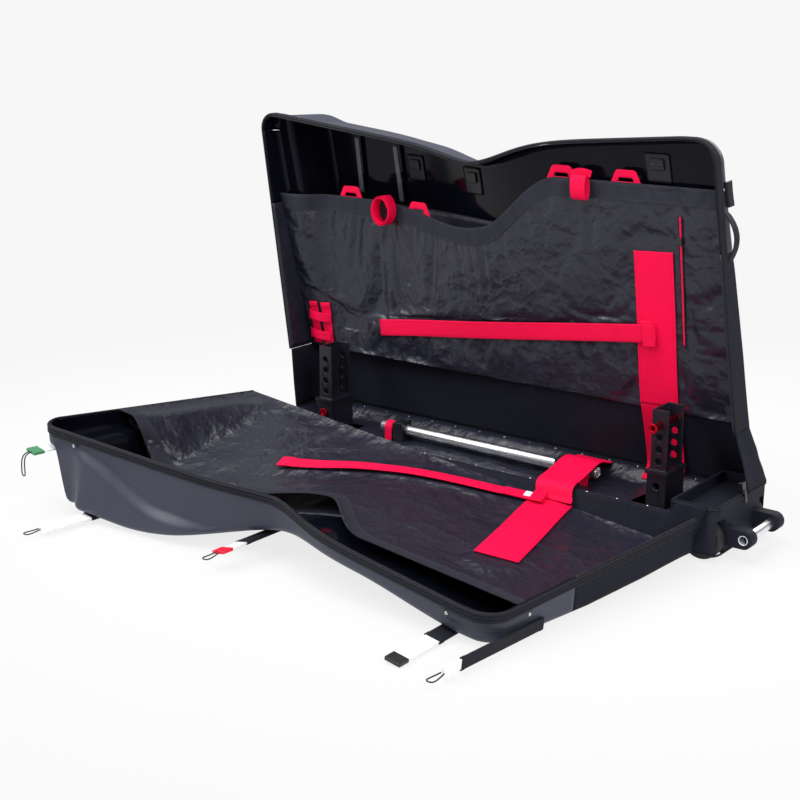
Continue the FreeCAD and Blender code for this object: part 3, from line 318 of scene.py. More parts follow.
# a wall's thickness, to one side of the surface or to both
def solidify(piece, thickness, offset=-1.0, inside=0):
    layer = piece.modifiers.new("thickness", "SOLIDIFY")
    layer.thickness = thickness
    layer.offset = offset
    layer.material_offset = inside
    layer.material_offset_rim = inside
    layer.use_even_offset = False
    return piece


# rounds a piece, alike in view and render
def subdivided(piece, levels=1):
    layer = piece.modifiers.new("round", "SUBSURF")
    layer.levels = levels
    layer.render_levels = levels
    return piece


# the body a piece moves with and the CAD nodes it stands for, which are hidden; the slot is not used
def rides(piece, bodyName, slot, *replaced):
    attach(piece, bodyName)
    if replaced:
        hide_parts(*replaced)
    return piece


# a grid as a piece; flips when asked so that its faces point out
def gridPiece(name, points, material, flip=False, closeRows=False, closeColumns=False):
    rows, columns = points.shape[:2]
    faces = gridFaces(rows, columns, closeRows, closeColumns)
    if flip:
        faces = faces[:, ::-1]
    return meshPiece(name, points.reshape(-1, 3), faces, [material], gridUv(points))


# a closed profile carried along a path: centre + out * a + side * b, scaled along it where asked
def sweptPiece(name, centre, out, side, profile, material, caps=True, scale=None):
    scale = np.ones(len(centre)) if scale is None else scale
    a, b = (np.asarray(profile, float).T[:, None, :] * scale[None, :, None])[..., None]
    points = centre[:, None] + out[:, None] * a + side[:, None] * b
    faces = tubeFaces(*points.shape[:2], caps)
    piece = meshPiece(name, points.reshape(-1, 3), faces, [material], gridUv(points))
    mend(piece.data)
    return piece


# superellipse of half width a and half height b
def roundedProfile(a, b, count=24, power=4.0):
    t = np.arange(count) * 2 * math.pi / count
    c, s = np.cos(t), np.sin(t)
    wide = a * np.sign(c) * np.abs(c) ** (2 / power)
    return np.stack([wide, b * np.sign(s) * np.abs(s) ** (2 / power)], axis=-1)


# several pieces as one, under one name
def joined(name, pieces):
    context = {"active_object": pieces[0], "selected_editable_objects": pieces, "selected_objects": pieces}
    with bpy.context.temp_override(**context):
        bpy.ops.object.join()
    pieces[0].name = name
    pieces[0].data.name = name
    return pieces[0]


# Node groups and materials


# an empty node group with named sockets
def groupTree(name, inputs, outputs):
    tree = bpy.data.node_groups.new(name, "ShaderNodeTree")
    for label, kind, value in inputs:
        socket = tree.interface.new_socket(label, in_out="INPUT", socket_type=kind)
        socket.default_value = value
    for label, kind in outputs:
        tree.interface.new_socket(label, in_out="OUTPUT", socket_type=kind)
    return tree, tree.nodes.new("NodeGroupInput"), tree.nodes.new("NodeGroupOutput")


# a shader node with its settings
def addNode(tree, kind, **settings):
    node = tree.nodes.new(kind)
    for key, value in settings.items():
        setattr(node, key, value)
    return node


# one step of arithmetic on numbers or sockets
def mathNode(tree, operation, first, second=None):
    node = addNode(tree, "ShaderNodeMath", operation=operation)
    for at, value in enumerate((first, second)):
        if value is None:
            continue
        if isinstance(value, (int, float)):
            node.inputs[at].default_value = value
        else:
            tree.links.new(value, node.inputs[at])
    return node.outputs[0]


# over-and-under weave on the piece's own UV: |sin| threads that trade height on a checker
def makeWeave():
    tree, enter, leave = groupTree("threadWeave", [("Pitch", "NodeSocketFloat", 0.0016)],
                                   [("Height", "NodeSocketFloat"), ("Shade", "NodeSocketFloat")])
    uv = addNode(tree, "ShaderNodeUVMap")
    split = addNode(tree, "ShaderNodeSeparateXYZ")
    tree.links.new(uv.outputs[0], split.inputs[0])
    waves = []
    for axis in (0, 1):
        count = mathNode(tree, "DIVIDE", split.outputs[axis], enter.outputs["Pitch"])
        waves.append(mathNode(tree, "SINE", mathNode(tree, "MULTIPLY", count, math.pi)))
    over = mathNode(tree, "MULTIPLY", waves[0], waves[1])
    rows = mathNode(tree, "ABSOLUTE", waves[1])
    columns = mathNode(tree, "ABSOLUTE", waves[0])
    under = mathNode(tree, "MULTIPLY", rows, columns)
    height = mathNode(tree, "ADD", mathNode(tree, "MULTIPLY", over, 0.5), under)
    shade = mathNode(tree, "ADD", mathNode(tree, "MULTIPLY", height, 0.25), 0.8)
    tree.links.new(height, leave.inputs["Height"])
    tree.links.new(shade, leave.inputs["Shade"])
    return tree


# soft mottling and dust: two noises of different size
def makeMottle():
    tree, enter, leave = groupTree("mottle", [("Scale", "NodeSocketFloat", 12.0)],
                                   [("Broad", "NodeSocketFloat"), ("Fine", "NodeSocketFloat")])
    place = addNode(tree, "ShaderNodeTexCoord")
    for label, times in (("Broad", 1.0), ("Fine", 14.0)):
        texture = addNode(tree, "ShaderNodeTexNoise")
        texture.inputs["Detail"].default_value = 4.0
        tree.links.new(place.outputs["Object"], texture.inputs["Vector"])
        tree.links.new(mathNode(tree, "MULTIPLY", enter.outputs["Scale"], times), texture.inputs["Scale"])
        tree.links.new(texture.outputs["Fac"], leave.inputs[label])
    return tree


# crinkled coated cloth: the distance to cell centres at three sizes, on places that a noise has shifted
def makeCrinkle():
    tree, enter, leave = groupTree("crinkle", [("Scale", "NodeSocketFloat", 22.0)],
                                   [("Height", "NodeSocketFloat")])
    place = addNode(tree, "ShaderNodeTexCoord")
    warp = addNode(tree, "ShaderNodeTexNoise")
    warp.inputs["Scale"].default_value = 9.0
    tree.links.new(place.outputs["Object"], warp.inputs["Vector"])
    shift = addNode(tree, "ShaderNodeMix", data_type="VECTOR")
    shift.inputs["Factor"].default_value = 0.06
    tree.links.new(place.outputs["Object"], shift.inputs["A"])
    tree.links.new(warp.outputs["Color"], shift.inputs["B"])
    total = None
    for times, share in ((0.4, 1.0), (1.0, 0.55), (2.6, 0.22)):
        cells = addNode(tree, "ShaderNodeTexVoronoi", feature="F1", distance="EUCLIDEAN")
        tree.links.new(shift.outputs["Result"], cells.inputs["Vector"])
        tree.links.new(mathNode(tree, "MULTIPLY", enter.outputs["Scale"], times), cells.inputs["Scale"])
        part = mathNode(tree, "MULTIPLY", cells.outputs["Distance"], share)
        total = part if total is None else mathNode(tree, "ADD", total, part)
    tree.links.new(total, leave.inputs["Height"])
    return tree


# dashes of thread along both long edges of a strip, from its UV and its width in metres
def makeStitch():
    tree, enter, leave = groupTree(
        "edgeStitch",
        [("Width", "NodeSocketFloat", 0.04), ("Inset", "NodeSocketFloat", 0.004),
         ("Length", "NodeSocketFloat", 0.004)],
        [("Thread", "NodeSocketFloat")])
    uv = addNode(tree, "ShaderNodeUVMap")
    split = addNode(tree, "ShaderNodeSeparateXYZ")
    tree.links.new(uv.outputs[0], split.inputs[0])
    half = mathNode(tree, "MULTIPLY", enter.outputs["Width"], 0.5)
    side = mathNode(tree, "ABSOLUTE", mathNode(tree, "SUBTRACT", split.outputs[1], half))
    line = mathNode(tree, "SUBTRACT", half, enter.outputs["Inset"])
    away = mathNode(tree, "ABSOLUTE", mathNode(tree, "SUBTRACT", side, line))
    near = mathNode(tree, "LESS_THAN", away, 0.0006)  # half the thread's width
    step = mathNode(tree, "FRACT", mathNode(tree, "DIVIDE", split.outputs[0], enter.outputs["Length"]))
    dash = mathNode(tree, "LESS_THAN", step, 0.7)  # the share of a step that shows
    tree.links.new(mathNode(tree, "MULTIPLY", near, dash), leave.inputs["Thread"])
    return tree


groups = {"weave": makeWeave(), "mottle": makeMottle(), "crinkle": makeCrinkle(), "stitch": makeStitch()}


# a Principled material with its constant values on the shader's own sockets
def newMaterial(name, color, roughness, specular=0.5, metallic=0.0):
    material = bpy.data.materials.new(name)
    material.use_nodes = True
    tree = material.node_tree
    shader = tree.nodes["Principled BSDF"]
    shader.inputs["Base Color"].default_value = (*color, 1.0)
    shader.inputs["Roughness"].default_value = roughness
    shader.inputs["Specular IOR Level"].default_value = specular
    shader.inputs["Metallic"].default_value = metallic
    return material, tree, shader


# a node group placed in a material, with its own values
def useGroup(tree, key, **values):
    node = addNode(tree, "ShaderNodeGroup", node_tree=groups[key])
    for label, value in values.items():
        node.inputs[label].default_value = value
    return node


# a colour between two others, each a value or a socket
def blendColors(tree, factor, first, second):
    mix = addNode(tree, "ShaderNodeMix", data_type="RGBA")
    for at, value in (("A", first), ("B", second)):
        socket = next(s for s in mix.inputs if s.name == at and s.type == "RGBA")
        if isinstance(value, tuple):
            socket.default_value = (*value, 1.0)
        else:
            tree.links.new(value, socket)
    tree.links.new(factor, next(s for s in mix.inputs if s.name == "Factor" and s.type == "VALUE"))
    return next(s for s in mix.outputs if s.type == "RGBA")


# straight line from one range of values to another
def rangeOf(tree, value, low, high, lowOut, highOut):
    node = addNode(tree, "ShaderNodeMapRange")
    tree.links.new(value, node.inputs["Value"])
    for label, number in (("From Min", low), ("From Max", high), ("To Min", lowOut), ("To Max", highOut)):
        node.inputs[label].default_value = number
    return node.outputs["Result"]


# relief on a shader, over an earlier one where given
def bumped(tree, shader, height, distance, before=None):
    node = addNode(tree, "ShaderNodeBump")
    node.inputs["Strength"].default_value = 1.0
    node.inputs["Distance"].default_value = distance
    tree.links.new(height, node.inputs["Height"])
    if before is not None:
        tree.links.new(before, node.inputs["Normal"])
    tree.links.new(node.outputs["Normal"], shader.inputs["Normal"])
    return node.outputs["Normal"]


# moulded plastic: fine grain, with broad changes of tone and gloss
def plastic(name, color, roughness, grain=0.00012, scale=10.0, specular=0.5):
    material, tree, shader = newMaterial(name, color, roughness, specular)
    mottle = useGroup(tree, "mottle", Scale=scale)
    dark = tuple(0.82 * c for c in color)
    pale = tuple(min(1.0, 1.15 * c) for c in color)
    tree.links.new(blendColors(tree, mottle.outputs["Broad"], dark, pale), shader.inputs["Base Color"])
    tree.links.new(rangeOf(tree, mottle.outputs["Broad"], 0.3, 0.7, roughness * 0.85, roughness * 1.15),
                   shader.inputs["Roughness"])
    bumped(tree, shader, mottle.outputs["Fine"], grain)
    return material


# woven cloth or webbing: threads on the UV, with edge stitches where a width is given
def woven(name, color, roughness, pitch, width=None, inset=0.004, thread=None, relief=0.0004, specular=0.5):
    material, tree, shader = newMaterial(name, color, roughness, specular)
    weave = useGroup(tree, "weave", Pitch=pitch)
    mottle = useGroup(tree, "mottle", Scale=9.0)
    dark = tuple(0.72 * c for c in color)
    tone = blendColors(tree, weave.outputs["Shade"], dark, color)
    tone = blendColors(tree, rangeOf(tree, mottle.outputs["Broad"], 0.35, 0.75, 0.0, 0.35), tone, dark)
    height = weave.outputs["Height"]
    if width:
        stitch = useGroup(tree, "stitch", Width=width, Inset=inset)
        tone = blendColors(tree, stitch.outputs["Thread"], tone, thread)
        height = mathNode(tree, "ADD", height, mathNode(tree, "MULTIPLY", stitch.outputs["Thread"], 1.5))
    tree.links.new(tone, shader.inputs["Base Color"])
    bumped(tree, shader, height, relief)
    return material


# coated liner cloth: crinkles over a fine weave, with patches of more and less shine
def coated(name, color, roughness, scale=22.0, relief=0.004, specular=0.5):
    material, tree, shader = newMaterial(name, color, roughness, specular)
    crinkle = useGroup(tree, "crinkle", Scale=scale)
    mottle = useGroup(tree, "mottle", Scale=5.0)
    weave = useGroup(tree, "weave", Pitch=0.0022)
    pale = tuple(1.6 * c for c in color)
    tree.links.new(blendColors(tree, mottle.outputs["Broad"], color, pale), shader.inputs["Base Color"])
    tree.links.new(rangeOf(tree, mottle.outputs["Broad"], 0.3, 0.7, roughness * 0.8, roughness * 1.25),
                   shader.inputs["Roughness"])
    fine = bumped(tree, shader, weave.outputs["Height"], 0.00012)
    bumped(tree, shader, crinkle.outputs["Height"], relief, fine)
    return material


# drawn, turned or cast metal: noise with its own scale along each axis of the piece
def metal(name, color, roughness, stretch):
    material, tree, shader = newMaterial(name, color, roughness, metallic=1.0)
    place = addNode(tree, "ShaderNodeTexCoord")
    turn = addNode(tree, "ShaderNodeMapping")
    turn.inputs["Scale"].default_value = stretch
    tree.links.new(place.outputs["Object"], turn.inputs["Vector"])
    texture = addNode(tree, "ShaderNodeTexNoise")
    texture.inputs["Scale"].default_value = 1.0
    texture.inputs["Detail"].default_value = 3.0
    tree.links.new(turn.outputs["Vector"], texture.inputs["Vector"])
    tree.links.new(rangeOf(tree, texture.outputs["Fac"], 0.3, 0.7, roughness * 0.7, roughness * 1.3),
                   shader.inputs["Roughness"])
    bumped(tree, shader, texture.outputs["Fac"], 0.00008)
    return material


red = (0.93, 0.0005, 0.062)
redThread = (0.74, 0.001, 0.040)
black = (0.010, 0.011, 0.019)
shellOutside = plastic("shellOutside", (0.036, 0.039, 0.064), 0.44, grain=0.00010, specular=0.32)
shellInside = plastic("shellInside", (0.003, 0.0035, 0.007), 0.10, grain=0.00002, specular=0.13)
wallCloth = woven("wallCloth", (0.010, 0.011, 0.020), 0.72, pitch=0.0030, specular=0.14)
wallLining = coated("wallLining", (0.010, 0.0105, 0.018), 0.42, specular=0.30)
rimTape = woven("rimTape", (0.010, 0.011, 0.017), 0.62, pitch=0.0022, specular=0.22)
linerCloth = coated("linerCloth", (0.011, 0.0115, 0.0205), 0.27, scale=30.0, relief=0.0055, specular=0.42)
hemCloth = woven("hemCloth", (0.020, 0.021, 0.033), 0.66, pitch=0.0022, width=0.040, inset=0.004,
                 thread=(0.042, 0.044, 0.058), specular=0.22)
redBand = woven("redBand", red, 0.62, pitch=0.0024, width=0.096, inset=0.006, thread=redThread, specular=0.14)
redStrap = woven("redStrap", red, 0.60, pitch=0.0024, width=0.042, inset=0.004, thread=redThread, specular=0.16)
redWeb = woven("redWeb", red, 0.60, pitch=0.0022, specular=0.14)
blackWeb = woven("blackWeb", black, 0.66, pitch=0.0022, width=0.024, inset=0.003, thread=(0.03, 0.03, 0.036),
                 specular=0.20)
sleeveCloth = woven("sleeveCloth", (0.011, 0.012, 0.019), 0.68, pitch=0.0022, specular=0.20)
blackPlastic = plastic("blackPlastic", (0.008, 0.0085, 0.013), 0.42, specular=0.35)
towerPlastic = plastic("towerPlastic", (0.009, 0.0095, 0.015), 0.36, grain=0.0001, specular=0.35)
basePlastic = woven("basePlastic", (0.011, 0.012, 0.021), 0.66, pitch=0.0030, specular=0.18)
guardPlastic = plastic("guardPlastic", (0.026, 0.028, 0.042), 0.45, specular=0.35)
# stay bars: mid grey instead of their own black, a painted highlight for the bright shine along their glossy
# edges
rodPaintedHighlight = plastic("rodPaintedHighlight", (0.075, 0.080, 0.100), 0.28)
tyreRubber = plastic("tyreRubber", (0.014, 0.014, 0.014), 0.75, grain=0.0003)
aluminium = metal("aluminium", (0.86, 0.87, 0.89), 0.24, stretch=(300, 6, 300))
railMetal = metal("railMetal", (0.82, 0.83, 0.86), 0.28, stretch=(6, 300, 300))
steel = metal("steel", (0.55, 0.56, 0.58), 0.3, stretch=(60, 60, 60))
darkMetal = metal("darkMetal", (0.06, 0.06, 0.065), 0.35, stretch=(80, 80, 80))
redMetal = metal("redMetal", (0.78, 0.01, 0.05), 0.30, stretch=(200, 8, 200))
battenPlastic = plastic("battenPlastic", (0.84, 0.85, 0.86), 0.32)
capColors = {"front_end": (0.05, 0.22, 0.10), "front": (0.82, 0.82, 0.82), "middle": (0.80, 0.01, 0.04),
             "rear": (0.012, 0.012, 0.013), "rear_end": (0.82, 0.82, 0.82)}
cordThread = woven("cordThread", (0.010, 0.010, 0.011), 0.7, pitch=0.0012)
print("materials:", len(bpy.data.materials))

# Shells and soft walls


# places along u: arcs round both corners, close steps on the slope, even steps between
def faceColumns(inset):
    angles = np.radians(np.linspace(0, 90, 8))
    arc = case["corner"] - (case["corner"] - inset) * np.cos(angles)
    slopeEnd = case["corner"] + case["bulgeSlope"] + 0.012
    slope = np.linspace(case["corner"], slopeEnd, 10)[1:]
    middle = np.linspace(case["front"] + slopeEnd, case["rear"] - case["corner"], 110)[1:-1]
    return np.concatenate([case["front"] + arc, case["front"] + slope, middle, (case["rear"] - arc)[::-1]])


# one skin of a half between two heights: the face as depth over (u, z), and an edge strip that
# leaves the rim outline straight out and rolls over on a quarter arc into the face
def halfSkin(half, zLow, zTop, rowCount):
    inset = case["edge"]
    u = faceColumns(inset)
    share = np.linspace(0, 1, rowCount)
    top = zTop(u) + (edgeLift(u, half) if zTop is insetTop else 0.0)
    z = zLow + (top - zLow)[:, None] * share[None, :]
    face = closedPoints(u[:, None], z, depth(u[:, None], z, half))
    verts, faces, uv = [face.reshape(-1, 3)], [gridFaces(*face.shape[:2])], [gridUv(face).reshape(-1, 2)]

    def addStrip(edgeU, edgeZ, insetU, insetZ, startY, lift, creased=False):
        steps = 22 if creased else 8
        y = depth(insetU, insetZ, half)
        wallShare = np.linspace(0, 1, steps)
        flatY = startY[:, None] + (y - inset - startY)[:, None] * wallShare[None, :]
        rise = liftShare(insetU[:, None], flatY, (y - inset)[:, None], half) if creased else 0 * flatY
        wall = closedPoints(edgeU[:, None], edgeZ[:, None] + rise, flatY)
        turn = np.radians(np.linspace(0, 90, 7))[1:]
        over = 1 - np.cos(turn)[None, :]
        arcU = edgeU[:, None] + (insetU - edgeU)[:, None] * over
        arcZ = (edgeZ + lift)[:, None] + (insetZ - edgeZ - lift)[:, None] * over
        arc = closedPoints(arcU, arcZ, (y - inset)[:, None] + inset * np.sin(turn)[None, :])
        strip = np.concatenate([wall, arc], axis=1)
        faces.append(gridFaces(*strip.shape[:2], start=sum(len(v) for v in verts)))
        verts.append(strip.reshape(-1, 3))
        uv.append(gridUv(strip).reshape(-1, 2))

    if zTop is insetTop:
        edgeU = u.copy()
        frontCorner = case["front"] + case["corner"]
        atFront, atRear = u < frontCorner, u > case["rear"] - case["corner"]
        spread = case["corner"] / (case["corner"] - inset)
        edgeU[atFront] = frontCorner - (frontCorner - u[atFront]) * spread
        edgeU[atRear] = case["rear"] - case["corner"] + (u[atRear] - case["rear"] + case["corner"]) * spread
        addStrip(edgeU, rimHeight(edgeU), u, top, np.full_like(u, case["mouthGap"]), edgeLift(u, half), True)
    for end, column in ((case["front"], 0), (case["rear"], -1)):
        still = np.zeros(rowCount)
        startY = case["mouthGap"] + (slump(z[column], half) if column == 0 else still)
        addStrip(np.full(rowCount, end), z[column], np.full(rowCount, u[column]), z[column], startY, still)
    return np.concatenate(verts), np.concatenate(faces), np.concatenate(uv)


# top edge of a shell's face, inside its rolled edge
def insetTop(u):
    return rimHeight(u, case["edge"])


# top edge of a soft wall, level along the split
def splitTop(u):
    return np.full_like(u, case["split"])


# moulded shell: the skin from the split up to the rim, with a wall inwards
def buildShell(half):
    verts, faces, uv = halfSkin(half, case["split"], insetTop, 26)
    finish = [shellOutside, shellInside]
    piece = meshPiece(half + "Shell", placed(verts, half), faces, finish, uv, merge=0.0004)
    solidify(piece, case["wall"], -1.0, 1)
    return rides(piece, body[half], "shell", half + "_shell")


softWall = {"wall": 0.004, "swell": 0.0024, "creases": 0.0016, "fade": 0.05, "inner": 0.02, "innerFade": 0.03}


# soft wall: the skin from foot to split, swollen by noise and creases that die out at its edges
def buildWall(half):
    verts, faces, uv = halfSkin(half, case["foot"], splitTop, 30)
    x, y, z = verts.T
    fade = softWall["fade"]
    inside = smooth((case["split"] - z) / fade) * smooth((z - case["foot"]) / fade)
    inside = inside * smooth((y - softWall["inner"]) / softWall["innerFade"])
    swell = softWall["swell"] * noise(x * 9, z * 5, 3) + softWall["creases"] * ridges(x * 22 + z * 6, z * 9, 4)
    verts = verts + np.stack([0 * x, swell * inside, 0 * x], axis=-1)
    piece = meshPiece(half + "Wall", placed(verts, half), faces, [wallCloth, wallLining], uv, merge=0.0004)
    solidify(piece, softWall["wall"], -1.0, 1)
    return rides(piece, body[half], "wall_cloth", half + "_wall")


# rim outline from the front foot over the top to the rear foot, as u and z
def rimOutline(steps=0.012):
    angles = np.radians(np.linspace(0, 90, 10))
    arc = case["corner"] * (1 - np.cos(angles))
    top = np.concatenate([case["front"] + arc, np.arange(case["front"] + case["corner"] + steps,
                          case["rear"] - case["corner"], steps), (case["rear"] - arc)[::-1]])
    up = np.arange(case["foot"], rimHeight(case["front"]) - 0.004, steps)
    down = np.arange(case["foot"], rimHeight(case["rear"]) - 0.004, steps)[::-1]
    u = np.concatenate([np.full(len(up), case["front"]), top, np.full(len(down), case["rear"])])
    z = np.concatenate([up, rimHeight(top), down])
    return u, z


# centre line, outward direction and depth direction of a strip along the rim
def rimFrame(half, u, z, lift, side):
    atFront = u <= case["front"] + 1e-6
    y = side + np.where(atFront, slump(z, half), 0.0)
    centre = closedPoints(u, z, y)
    along = np.gradient(np.stack([centre[:, 0], centre[:, 2]], axis=-1), axis=0)
    along = unit(along)
    out = np.stack([-along[:, 1], 0 * u, along[:, 0]], axis=-1)
    centre = centre + out * lift
    deep = np.broadcast_to(np.array([0.0, 1.0, 0.0]), centre.shape)
    shifted = placed(centre, half)
    return shifted, placed(centre + out, half) - shifted, placed(centre + deep, half) - shifted


zipTape = {"base": 0.0032, "ridge": 0.0028, "edge": 0.0022, "ridges": 3}


# zip tape: a low pad with piped ridges along it, out = base + ridge * |sin|^0.6
def buildRim(half):
    u, z = rimOutline()
    centre, out, deep = rimFrame(half, u, z, case["beadGap"], case["beadGap"])
    across = np.linspace(0, 1, 25)
    ridge = zipTape["base"] + zipTape["ridge"] * np.abs(np.sin(math.pi * zipTape["ridges"] * across)) ** 0.6
    ridge[0] = ridge[-1] = zipTape["edge"]
    upper = np.stack([ridge, across * case["beadWidth"]], axis=-1)
    lower = np.array([[0.0, case["beadWidth"]], [0.0, 0.0]])
    piece = sweptPiece(half + "Rim", centre, out, deep, np.concatenate([upper, lower]), rimTape)
    return rides(piece, body[half], "rim_tape", half + "_rim")


tooth = {"step": 0.004, "lift": 0.0024, "along": (-0.0008, 0.0008), "out": (-0.0012, 0.0010),
         "deep": (-0.0002, 0.0012)}


# interlocking teeth along the rim's mating edge: one small block on each step of the path
def buildTeeth(half):
    u, z = rimOutline(tooth["step"])
    centre, out, deep = rimFrame(half, u, z, tooth["lift"], 0.0)
    if half == "near":  # half a step on, between the other half's teeth
        centre, out, deep = [(v[:-1] + v[1:]) / 2 for v in (centre, out, deep)]
    along = np.cross(out, deep)
    corners = np.array([[a, b, c] for a in tooth["along"] for b in tooth["out"] for c in tooth["deep"]])
    verts = centre[:, None] + along[:, None] * corners[None, :, :1] + out[:, None] * corners[None, :, 1:2] \
        + deep[:, None] * corners[None, :, 2:]
    cube = np.array([[0, 1, 3, 2], [4, 6, 7, 5], [0, 4, 5, 1], [2, 3, 7, 6], [0, 2, 6, 4], [1, 5, 7, 3]])
    faces = (cube[None] + 8 * np.arange(len(centre))[:, None, None]).reshape(-1, 4)
    piece = meshPiece(half + "ZipTeeth", verts.reshape(-1, 3), faces, [blackPlastic], flat=True)
    return rides(piece, body[half], "zip_metal")


guard = {"reach": 0.088, "width": 0.019, "wall": 0.0022, "gap": 0.0009, "rivet": 0.0042, "rivetInset": 0.012}


# guard: a strip round each top corner whose ends are half round, width * sqrt(1 - s^2)
def buildGuards(half):
    parts, rivets = [], []
    u, z = rimOutline(0.003)
    side = case["beadWidth"] + 2 * case["beadGap"]
    centre, out, deep = rimFrame(half, u, z, guard["gap"], side + guard["width"] / 2)
    run = runLength(centre)
    arcLength = case["corner"] * math.pi / 2
    for end in (case["front"], case["rear"]):
        inCorner = np.abs(np.abs(u - end) - case["corner"] / 2) < case["corner"] / 2
        middle = run[inCorner].mean()
        reach = arcLength / 2 + guard["reach"] - case["corner"] * 0.4
        pick = np.abs(run - middle) <= reach
        near = 1 - np.clip((reach - np.abs(run[pick] - middle)) / (guard["width"] / 2), 0, 1)
        taper = np.maximum(0.12, np.sqrt(np.maximum(0, 1 - near ** 2)))
        profile = np.stack([np.array([0, 0.6, 1, 1, 0.6]) * guard["wall"],
                            np.array([0.5, 0.5, 0.42, -0.42, -0.5]) * guard["width"]], axis=-1)
        profile = np.concatenate([profile, [[0.0, -0.5 * guard["width"]]]])
        wide = centre[pick][:, None] + out[pick][:, None] * profile[None, :, :1] \
            + deep[pick][:, None] * (profile[:, 1][None, :] * taper[:, None])[..., None]
        faces = tubeFaces(*wide.shape[:2])
        parts.append(meshPiece("guardPart", wide.reshape(-1, 3), faces, [guardPlastic], gridUv(wide),
                               merge=0.00001))
        for place in (middle - reach + guard["rivetInset"], middle + reach - guard["rivetInset"]):
            at = int(np.argmin(np.abs(run - place)))
            rivets.append((centre[at] + out[at] * guard["wall"], out[at]))
    guards = rides(joined(half + "CornerGuards", parts), body[half], "guard", half + "_corner_guards")
    rides(rivetHeads(half + "GuardRivets", rivets, guard["rivet"], steel), body[half], "steel")
    return guards


# low domes: a quarter ellipse turned about each rivet's own direction
def rivetHeads(name, places, radius, material, rise=0.45, sides=14):
    parts = []
    turn = np.arange(sides) * 2 * math.pi / sides
    climb = np.radians(np.linspace(0, 80, 5))
    for place, out in places:
        out = np.array(out, float) / np.linalg.norm(out)
        first = np.cross(out, [0.31, 0.53, 0.79])  # any direction that no rivet has
        first = first / np.linalg.norm(first)
        second = np.cross(out, first)
        ring = np.cos(climb)[:, None, None] * radius * (np.cos(turn)[None, :, None] * first
                                                       + np.sin(turn)[None, :, None] * second)
        points = np.array(place) + ring + np.sin(climb)[:, None, None] * radius * rise * out
        faces = gridFaces(len(climb), sides, closeColumns=True).tolist()
        faces.append(list(range((len(climb) - 1) * sides, len(climb) * sides)))
        faces.append(list(range(sides))[::-1])
        parts.append(meshPiece("rivet", points.reshape(-1, 3), faces, [material], merge=0.000001))
    return joined(name, parts)


for half in ("far", "near"):
    buildShell(half)
    buildWall(half)
    buildRim(half)
    buildTeeth(half)
    buildGuards(half)
print("shells, walls and rims")

# Pocket sheets and what is sewn on them. Straps are listed as (x, z) ends on the closed half.

cloth = {"columns": 170, "rows": 70, "hemRows": 8, "hemWidth": 0.040, "swell": 0.035, "cap": 0.008,
         "frames": 16, "gravity": 0.5, "wall": 0.0012, "ridge": 0.0035, "ridgeWidth": 0.011, "border": 0.004,
         "hemLift": 0.0014, "sewing": 0.004}
patches = {"far": ((0.430, 0.612), (0.448, 0.262)), "near": ((0.417, 0.616), (0.324, 0.262))}
straps = {"far": ((-0.354, 0.330), (0.440, 0.428)), "near": ((-0.291, 0.486), (0.315, 0.278))}
strapSize = {"patch": 0.096, "patchWall": 0.003, "width": 0.042, "wall": 0.004, "gap": 0.0003,
             "keeperPlace": 0.017, "keeperHalf": 0.030, "keeperWidth": 0.030, "keeperWall": 0.003,
             "keeperLift": 0.0102, "tipStart": 0.030, "tipEnd": 0.014, "tipWall": 0.002, "tipLift": 0.0106}
pocketZip = {"ends": ((0.494, 0.694), (0.508, 0.409)), "tape": 0.009, "tapeWall": 0.0012, "tapeLift": 0.0003,
             "teeth": 0.0036, "teethWall": 0.0014, "teethLift": 0.0010}
# what else is sewn to the far sheet, each line with its reach: zip, side straps and rolled straps
sewnLines = [(pocketZip["ends"], 0.010), (((-0.575, 0.372), (-0.530, 0.260)), 0.036),
             (((-0.538, 0.372), (-0.530, 0.260)), 0.020), (((-0.340, 0.660), (-0.334, 0.590)), 0.026),
             (((0.251, 0.770), (0.257, 0.700)), 0.026)]
sleeveLines = {"far": [((-0.372, 0.700), (-0.356, 0.580), (-0.323, 0.326), (-0.312, 0.240)),
                       ((-0.075, 0.640), (-0.062, 0.612), (-0.021, 0.494), (0.018, 0.376), (0.040, 0.300))],
               "near": [((-0.340, 0.600), (-0.300, 0.260)), ((0.090, 0.700), (0.120, 0.430))]}
inward = {half: placed(np.array([0.0, -1.0, 0.0]), half) - placed(np.zeros(3), half) for half in body}


# distance of closed points, by x and z, from a polyline: the least over its runs
def lineDistance(x, z, line):
    best = np.full(np.shape(x), 9.0)
    for (x1, z1), (x2, z2) in zip(line, line[1:]):
        dx, dz = x2 - x1, z2 - z1
        share = np.clip(((x - x1) * dx + (z - z1) * dz) / (dx * dx + dz * dz), 0, 1)
        best = np.minimum(best, np.hypot(x - x1 - share * dx, z - z1 - share * dz))
    return best


# rest shape of a pocket sheet: even columns along u, rows from foot to hem with close rows in the hem
def sheetGrid(half):
    u = np.linspace(case["front"] + cloth["border"], case["rear"] - cloth["border"], cloth["columns"])
    hem = hemHeight(u)
    low = np.linspace(0, 1, cloth["rows"] - cloth["hemRows"])
    under = case["foot"] + (hem - cloth["hemWidth"] - case["foot"])[:, None] * low[None, :]
    band = hem[:, None] - cloth["hemWidth"] * (1 - np.linspace(0, 1, cloth["hemRows"] + 1)[1:])[None, :]
    z = np.concatenate([under, band], axis=1)
    return closedPoints(u[:, None], z, pocketDepth(u[:, None], z, half) + cloth["wall"])


# where the sheet is sewn down: its border, and within reach of the patch, the straps and the sewn lines
def sewnDown(points, half):
    x, z = points[..., 0], points[..., 2]
    held = np.zeros(x.shape, bool)
    held[0], held[-1], held[:, 0], held[:, -1] = True, True, True, True
    held |= lineDistance(x, z, patches[half]) < strapSize["patch"] / 2 + cloth["sewing"]
    held |= lineDistance(x, z, straps[half]) < strapSize["width"] / 2 + cloth["sewing"]
    if half == "far":
        for line, reach in sewnLines:
            held |= lineDistance(x, z, line) < reach
    return held


